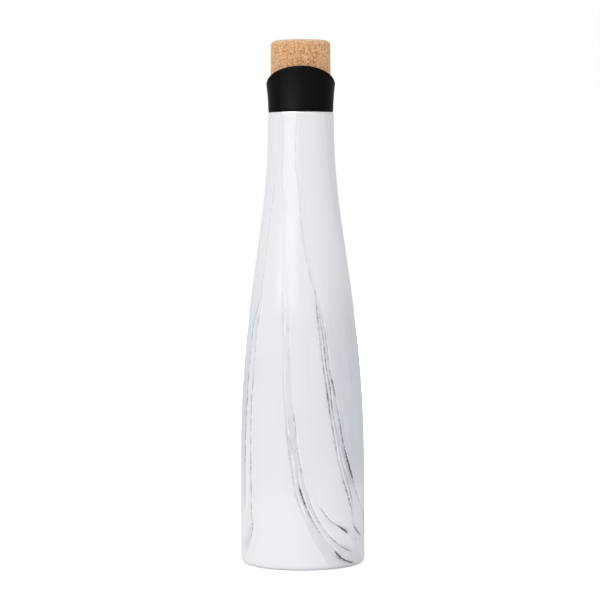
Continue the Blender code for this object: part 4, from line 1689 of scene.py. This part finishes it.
@dataclass
class PourCollar:
    """The black pour collar, its gasket and its threaded insert.

    Attributes:
        flare_radius: radius of the flare's curve.
        lip: height of the lip at the axis.
        slant: slant of the mouth, in degrees.
        chamfer_rise, chamfer_run: the height and the width of the foot's chamfer.
        spigot_step: how much narrower the insert is inside the collar.
        thread_gap: how far the thread is from the shoulder, and over which it fades.
        rounds: how often the sum for the lip's height is repeated.
    """

    finishes: Finishes
    reach: Reach = reach_of("pour_collar")
    foot_radius: float = 0.0204
    foot_edge: float = 0.00015
    flare_radius: float = 0.1280
    wall: float = 0.0011
    lip: float = 0.0172
    slant: float = 24.4
    chamfer_rise: float = 0.0012
    chamfer_run: float = 0.00025
    floor: float = 0.0014
    gasket_width: float = 0.0018
    sleeve_wall: float = 0.0023
    spigot_step: float = 0.0006
    thread_gap: float = 0.0006
    rounds: int = 12

    def flare(self, height: Array) -> Array:
        """Outer radius at a height above the collar's foot: r0 + R - sqrt(R2 - height2)."""
        return self.foot_radius + self.flare_radius - np.sqrt(self.flare_radius ** 2 - height ** 2)

    def crest(self, angle: Array) -> Array:
        """Height of the lip above the foot, where the flared wall meets the slanted plane.

        The plane's height is lip + tan(slant) * radius * cos(angle), and the radius there is the
        flare's at that height, so the sum is repeated until it settles.

        Args:
            angle: angles in radians.

        Returns:
            Heights.
        """
        height = np.full_like(angle, self.lip)
        for _ in range(self.rounds):
            height = self.lip + math.tan(math.radians(self.slant)) * self.flare(height) * np.cos(angle)
        return height

    def pouring_lip(self) -> Piece:
        """Make the collar: at each angle an outline as tall as the slanted lip is there.

        The outline is skirt, flared wall, round lip, inner wall, floor with its hole, and gasket groove.

        Returns:
            The piece.
        """
        angle = angles_round(Angles.WIDE)
        half, edge = 0.5 * self.wall, self.foot_edge
        crest = self.crest(angle) - half
        gasket, spigot = Reach.of("collar_gasket"), Reach.of("collar_sleeve").radius - self.spigot_step + FIT
        groove_out, roof = gasket.radius + FIT, gasket.high - gasket.low + FIT
        groove_in, floor = gasket.radius - self.gasket_width - FIT, roof + self.floor
        skirt = arc((self.foot_radius - self.chamfer_run - edge, edge), edge, -90, 0, 3)
        rise = np.linspace(0.0, 1.0, 26)
        outer = self.chamfer_rise + (crest - self.chamfer_rise) * rise
        inner = floor + FOLD + (crest - floor - FOLD) * rise[::-1]
        turn = np.radians(np.linspace(0, 180, 13))[1:-1]
        fillet = arc((self.foot_radius - self.wall - FOLD, floor + FOLD), FOLD, 0, -90, 4)[1:]
        under = np.array(((spigot, floor), (spigot, 0.0), (groove_in, 0.0), (groove_in, roof),
                          (groove_out, roof), (groove_out, 0.0)))
        ones = np.ones_like(angle)
        radius = (ones * skirt[:, 0], self.flare(outer), self.flare(crest) - half + half * np.cos(turn),
                  self.flare(inner) - self.wall, ones * fillet[:, 0], ones * under[:, 0])
        height = (ones * skirt[:, 1], outer, crest + half * np.sin(turn), inner, ones * fillet[:, 1],
                  ones * under[:, 1])
        grid = Turned(np.concatenate(radius, axis=1), np.concatenate(height, axis=1) + self.reach.low, True)
        return skin("pouring_lip", grid)

    def gasket(self) -> Piece:
        """Make the washer, with soft edges.

        Returns:
            The piece.
        """
        reach = Reach.of("collar_gasket")
        inner = reach.radius - self.gasket_width
        corners = [(inner, reach.low, FINE), (reach.radius, reach.low, FINE),
                   (reach.radius, reach.high, FINE), (inner, reach.high, FINE)]
        return skin("gasket_washer", Turned.of(corners, Angles.PLAIN, spacing=0.0005))

    def insert(self) -> Piece:
        """Make the sleeve: a smooth bore for the stopper, and a thread that fits the neck's.

        Returns:
            The piece.
        """
        reach, soft = Reach.of("collar_sleeve"), 0.25 * self.sleeve_wall
        spigot, bore = reach.radius - self.spigot_step, reach.radius - self.sleeve_wall
        shoulder = self.reach.low - FIT
        corners = [(bore, reach.low, soft), (reach.radius, reach.low, soft), (reach.radius, shoulder, CRISP),
                   (spigot, shoulder, 0.0), (spigot, reach.high, FINE), (bore, reach.high, soft)]
        grid = Turned.of(corners, Angles.PLAIN, spacing=0.00025)
        wall = eased(grid.radius, bore + 0.7 * self.sleeve_wall, bore + 0.95 * self.sleeve_wall)
        thread = Thread(reach.low + FINE, shoulder - self.thread_gap, fade=self.thread_gap)
        return skin("threaded_insert", thread.cut(grid, wall))

    def build(self) -> None:
        """Build and dress the collar's pieces."""
        for piece, node, finish in ((self.pouring_lip(), "pour_collar", self.finishes.collar),
                                    (self.gasket(), "collar_gasket", self.finishes.silicone),
                                    (self.insert(), "collar_sleeve", self.finishes.insert)):
            settle(piece, node, finish)


@dataclass(frozen=True)
class GroundCork:
    """How the surface of ground cork lies below a smooth one.

    Attributes:
        granule, small: size of the large granules, and of the small ones as a share of it.
        joint, small_joint: depth of the joints between them, over a margin of joint_width or
            small_joint_width.
        pit, fallen: depth where a small granule has fallen out, and the random numbers of those.
    """

    granule: float = 0.0021
    small: float = 0.45
    joint: float = 0.00007
    joint_width: float = 0.10
    small_joint: float = 0.00003
    small_joint_width: float = 0.16
    uneven: float = 0.00005
    pit: float = 0.00012
    fallen: tuple[float, float] = (0.965, 0.985)
    seed: int = 11
    small_seed: int = 23

    def depth(self, points: Array) -> Array:
        """Work out the depth. A joint's share of it is exp(-(margin / width)2).

        Args:
            points: places on the smooth surface.

        Returns:
            Depths.
        """
        margin, tone = granules(points, self.granule, self.seed)
        small_margin, small_tone = granules(points, self.small * self.granule, self.small_seed)
        return (self.joint * np.exp(-(margin / self.joint_width) ** 2) + self.uneven * tone
                + self.small_joint * np.exp(-(small_margin / self.small_joint_width) ** 2)
                + self.pit * eased(small_tone, *self.fallen))


@dataclass
class Stopper:
    """The cork, the moulded plug under it, and the plug's rings and cap.

    Attributes:
        ground: the cork's surface.
        taper: how much narrower the cork is at its top.
        highlight_height, highlight_width: how far the painted highlight on the rounded edge reaches down the
            side
        and over the top. It is at full strength within highlight_edge of both.
        stud: radius of the stud in the cork.
        beside_hole, above_hole: how far from the stud's hole the pits start, and are full.
        ring_depth: how deep a ring goes in from its ribs.
        ring_proud: how far the ribs stand proud of the plug.
        rib: how far each rib's crest is from the ring's middle.
        rib_edge: rounding of the ribs, and depth of the valley between them.
        dish, dish_radius, dish_edge: depth of the cap's dish, its radius and its rim's radius.
    """

    finishes: Finishes
    cork: Reach = reach_of("cork_head")
    core: Reach = reach_of("stopper_core")
    cap: Reach = reach_of("stopper_cap")
    ground: GroundCork = GroundCork()
    taper: float = 0.00035
    rounding: float = 0.0030
    highlight_height: float = 0.0036
    highlight_width: float = 0.0085
    highlight_edge: float = 0.0010
    stud: float = 0.0080
    beside_hole: tuple[float, float] = (0.0004, 0.0010)
    above_hole: tuple[float, float] = (0.001, 0.002)
    wall: float = 0.0018
    ring_depth: float = 0.0016
    ring_proud: float = 0.0007
    rib: float = 0.00055
    rib_edge: float = 0.00025
    cap_wall: float = 0.0015
    dish: float = 0.0003
    dish_radius: float = 0.0070
    dish_edge: float = 0.0085
    cap_edge: float = 0.0010

    def head(self) -> Piece:
        """Make the cork, ground smooth and then pitted along the joints between its granules.

        Its blind hole for the stud stays smooth.

        Returns:
            The piece.
        """
        low, high, radius, hole = self.cork.low, self.cork.high, self.cork.radius, self.stud + FIT
        ceiling, top_radius = self.core.high + FIT, radius - self.taper
        corners = [(0.0, ceiling, 0.0), (hole, ceiling, FINE), (hole, low, FINE), (radius, low, SOFT),
                   (top_radius, high, self.rounding), (0.0, high, 0.0)]
        grid = Turned.of(corners, Angles.CORK, spacing=0.00034, steps=12)
        points = grid.points()
        shown = np.maximum(*(eased(value, edge + near, edge + far) for value, edge, (near, far) in (
            (grid.radius, hole, self.beside_hole), (grid.height, ceiling, self.above_hole))))
        depth = self.ground.depth(points) * shown
        # The rounded top edge gets a painted highlight: a mark of 1 there, which the cork's material paints
        # paler
        top_highlight = (eased(grid.height, high - self.highlight_height, high - self.highlight_edge)
                  * eased(grid.radius, top_radius - self.highlight_width, top_radius - self.highlight_edge))
        return skin("cork_grip", grid, points=points - grid.normals() * depth[..., None],
                    marks={"top_highlight": np.repeat(top_highlight[..., None], 3, axis=2)})

    def barrel(self) -> Piece:
        """Make the hollow plug with its ring grooves and the stud that is glued into the cork.

        Returns:
            The piece.
        """
        rings = [Reach.of(f"seal_ring_{index}") for index in RINGS]
        plug, groove = rings[0].radius - self.ring_proud, rings[0].radius - self.ring_depth - FIT
        seat, bore, low, high = self.cork.low - FIT, groove - self.wall, self.core.low, self.core.high
        well = self.stud - self.wall
        corners = [(0.0, high - self.wall, 0.0), (well, high - self.wall, FINE),
                   (well, seat - self.wall, FINE), (bore, seat - self.wall, MOULDED), (bore, low, FINE),
                   (plug, low, FINE)]
        for ring in reversed(rings):
            corners += [(plug, ring.low - FIT, FINE), (groove, ring.low - FIT, FINE),
                        (groove, ring.high + FIT, FINE), (plug, ring.high + FIT, FINE)]
        corners += [(plug, seat, BROKEN), (self.stud, seat, BROKEN), (self.stud, high, SOFT),
                    (0.0, high, 0.0)]
        return skin("plug_barrel", Turned.of(corners, Angles.HIDDEN, spacing=0.0008))

    def ring(self, index: int) -> Piece:
        """Make one ring: square in its groove, with two soft ribs towards the sleeve.

        Args:
            index: number of the ring.

        Returns:
            The piece.
        """
        reach = Reach.of(f"seal_ring_{index}")
        outer, inner, shoulder = reach.radius, reach.radius - self.ring_depth, reach.radius - self.ring_proud
        middle, edge = 0.5 * (reach.low + reach.high), self.rib_edge
        corners = [(inner, reach.low, CRISP), (shoulder, reach.low, CRISP), (outer, middle - self.rib, edge),
                   (outer - edge, middle, edge), (outer, middle + self.rib, edge),
                   (shoulder, reach.high, CRISP), (inner, reach.high, CRISP)]
        return skin(f"plug_ring_{index}", Turned.of(corners, Angles.PLAIN, spacing=0.0003))

    def plug_cap(self) -> Piece:
        """Make the cap: a rounded disc with a shallow dish, and a spigot inside the barrel.

        Returns:
            The piece.
        """
        low, high, radius, seat = self.cap.low, self.cap.high, self.cap.radius, self.core.low - FIT
        spigot = Reach.of("seal_ring_1").radius - self.ring_depth - self.wall - 2 * FIT
        corners = [(0.0, low + self.dish, 0.0), (self.dish_radius, low + self.dish, SOFT),
                   (self.dish_edge, low, SOFT), (radius, low, self.cap_edge), (radius, seat, CRISP),
                   (spigot, seat, CRISP), (spigot, high, BROKEN), (spigot - self.cap_wall, high, BROKEN),
                   (spigot - self.cap_wall, seat, FINE), (0.0, seat, 0.0)]
        return skin("plug_cap", Turned.of(corners, Angles.HIDDEN, spacing=0.0006))

    def build(self) -> None:
        """Build and dress the stopper's pieces."""
        settle(self.head(), "cork_head", self.finishes.cork)
        settle(self.barrel(), "stopper_core", self.finishes.insert)
        for index in RINGS:
            settle(self.ring(index), f"seal_ring_{index}", self.finishes.silicone)
        settle(self.plug_cap(), "stopper_cap", self.finishes.insert)


# The studio


@dataclass(frozen=True)
class Softbox:
    """A rectangular soft light that faces the carafe.

    Attributes:
        turn: angle round the carafe from the front, in degrees, towards +X.
        rise: angle above the level of the target, in degrees.
        brightness: radiance of its face.
        distance: from its target, on the axis.
        level: the target's height.
        mirrored_only: whether it only shows in reflections and lights nothing else.
    """

    name: str
    turn: float
    rise: float
    width: float
    height: float
    brightness: float
    distance: float
    level: float
    mirrored_only: bool = False

    def hang(self) -> None:
        """Make the light. Its power is brightness * pi * area."""
        data = bpy.data.lights.new(self.name, "AREA")
        data.shape = "RECTANGLE"
        data.size, data.size_y = self.width, self.height
        data.energy = self.brightness * math.pi * self.width * self.height
        turn, rise = math.radians(self.turn), math.radians(self.rise)
        away = Vector((math.sin(turn) * math.cos(rise), -math.cos(turn) * math.cos(rise), math.sin(rise)))
        light = bpy.data.objects.new(self.name, data)
        light.location = Vector((0.0, 0.0, self.level)) + away * self.distance
        light.rotation_mode = "QUATERNION"
        light.rotation_quaternion = away.to_track_quat("Z", "Y")
        light.visible_camera = False
        light.visible_diffuse = not self.mirrored_only
        bpy.context.scene.collection.objects.link(light)


@dataclass(frozen=True)
class Studio:
    """A white floor and backdrop, soft light, and the photograph's camera.

    Attributes:
        daylight: the light from all round.
        screen_turn: angle round the carafe to the middle of a dark screen, in degrees.
        screen_shade: how much of the daylight that middle takes away.
        screen_spread: how narrow the screen's shade is.
        floor_mirrored: how bright the floor's own white is in reflections.
        floor_glow: that white, from the carafe's axis outwards.
    """

    eye: Eye = Eye()
    daylight: Colour = (0.952, 0.957, 0.970)
    screen_turn: float = 110.0
    screen_shade: float = 0.66
    screen_spread: float = 2.0
    softboxes: tuple[Softbox, ...] = (
        Softbox("strip", turn=-34.0, rise=0.0, width=0.60, height=0.14, brightness=32.0, distance=0.6,
                level=0.335, mirrored_only=True),
        Softbox("strip_side", turn=26.0, rise=0.0, width=0.50, height=0.16, brightness=5.0, distance=0.6,
                level=0.325, mirrored_only=True),
        Softbox("front", turn=-20.0, rise=5.0, width=0.6, height=0.8, brightness=1.15, distance=1.2,
                level=0.12),
        Softbox("foot", turn=-6.0, rise=6.0, width=0.3, height=0.02, brightness=0.40, distance=0.12,
                level=0.0),
    )
    floor_size: float = 6.0
    floor_white: Colour = (0.88, 0.88, 0.88)
    floor_mirrored: float = 0.3
    floor_glow: Ramp = Ramp(0.03, 0.5, 0.40, 1.0)

    def backdrop(self) -> None:
        """Make the world: white where it is seen, and soft daylight on surfaces.

        A dark screen stands on the right, a little behind the carafe. The daylight is
        1 - shade * cos(angle to the screen's middle) to the power of spread.
        """
        sky = Graph(bpy.data.worlds.new("studio"), {"Color": WHITE})
        turn = math.radians(self.screen_turn)
        facing = sky.add("ShaderNodeVectorMath", {
            0: sky.add("ShaderNodeTexCoord", {}).outputs["Generated"],
            1: (math.sin(turn), -math.cos(turn), 0.0)}, operation="DOT_PRODUCT").outputs["Value"]
        dark = sky.maths("POWER", sky.maths("MAXIMUM", facing, 0.0), self.screen_spread)
        strength = sky.maths("SUBTRACT", 1.0, sky.times(dark, self.screen_shade))
        lit = sky.add("ShaderNodeBackground", {"Color": self.daylight, "Strength": strength})
        either = sky.add("ShaderNodeMixShader", {
            0: sky.seen_plainly(), 1: lit.outputs[0], 2: sky.shader.outputs[0]})
        sky.feed(sky.end.inputs["Surface"], either.outputs[0])
        bpy.context.scene.world = sky.owner

    def floor(self) -> None:
        """Make the floor: white paint that keeps the carafe's shadow, and a white glow where it is seen."""
        half = 0.5 * self.floor_size
        corners = [(-half, -half, 0.0), (half, -half, 0.0), (half, half, 0.0), (-half, half, 0.0)]
        mesh = bpy.data.meshes.new("studio_floor")
        mesh.from_pydata(corners, [], [(0, 1, 2, 3)])
        floor = bpy.data.objects.new("studio_floor", mesh)
        bpy.context.scene.collection.objects.link(floor)
        paint = Graph.material("floor_white", {
            "Base Color": self.floor_white, "Roughness": 0.9, "Specular IOR Level": 0.0})
        x, y, _ = paint.parts(paint.local())
        glow = paint.eased(paint.from_axis(x, y), self.floor_glow)
        shown = paint.times(glow, paint.seen_plainly(self.floor_mirrored))
        light = paint.add("ShaderNodeEmission", {"Color": WHITE, "Strength": shown})
        both = paint.add("ShaderNodeAddShader", {0: paint.shader.outputs[0], 1: light.outputs[0]})
        paint.feed(paint.end.inputs["Surface"], both.outputs[0])
        mesh.materials.append(paint.owner)

    def build(self) -> None:
        """Set the stage."""
        bpy.context.scene.view_settings.view_transform = "Standard"
        self.eye.place_camera()
        self.backdrop()
        self.floor()
        for softbox in self.softboxes:
            softbox.hang()


def main() -> None:
    """Build every sub-assembly and the studio."""
    logging.basicConfig(level=logging.INFO, format="%(name)s: %(message)s")
    finishes = Finishes()
    for part in (Studio(), Vessel(finishes), PourCollar(finishes), Stopper(finishes)):
        part.build()
        LOG.info("%s built", type(part).__name__)


if __name__ == "__main__":
    main()
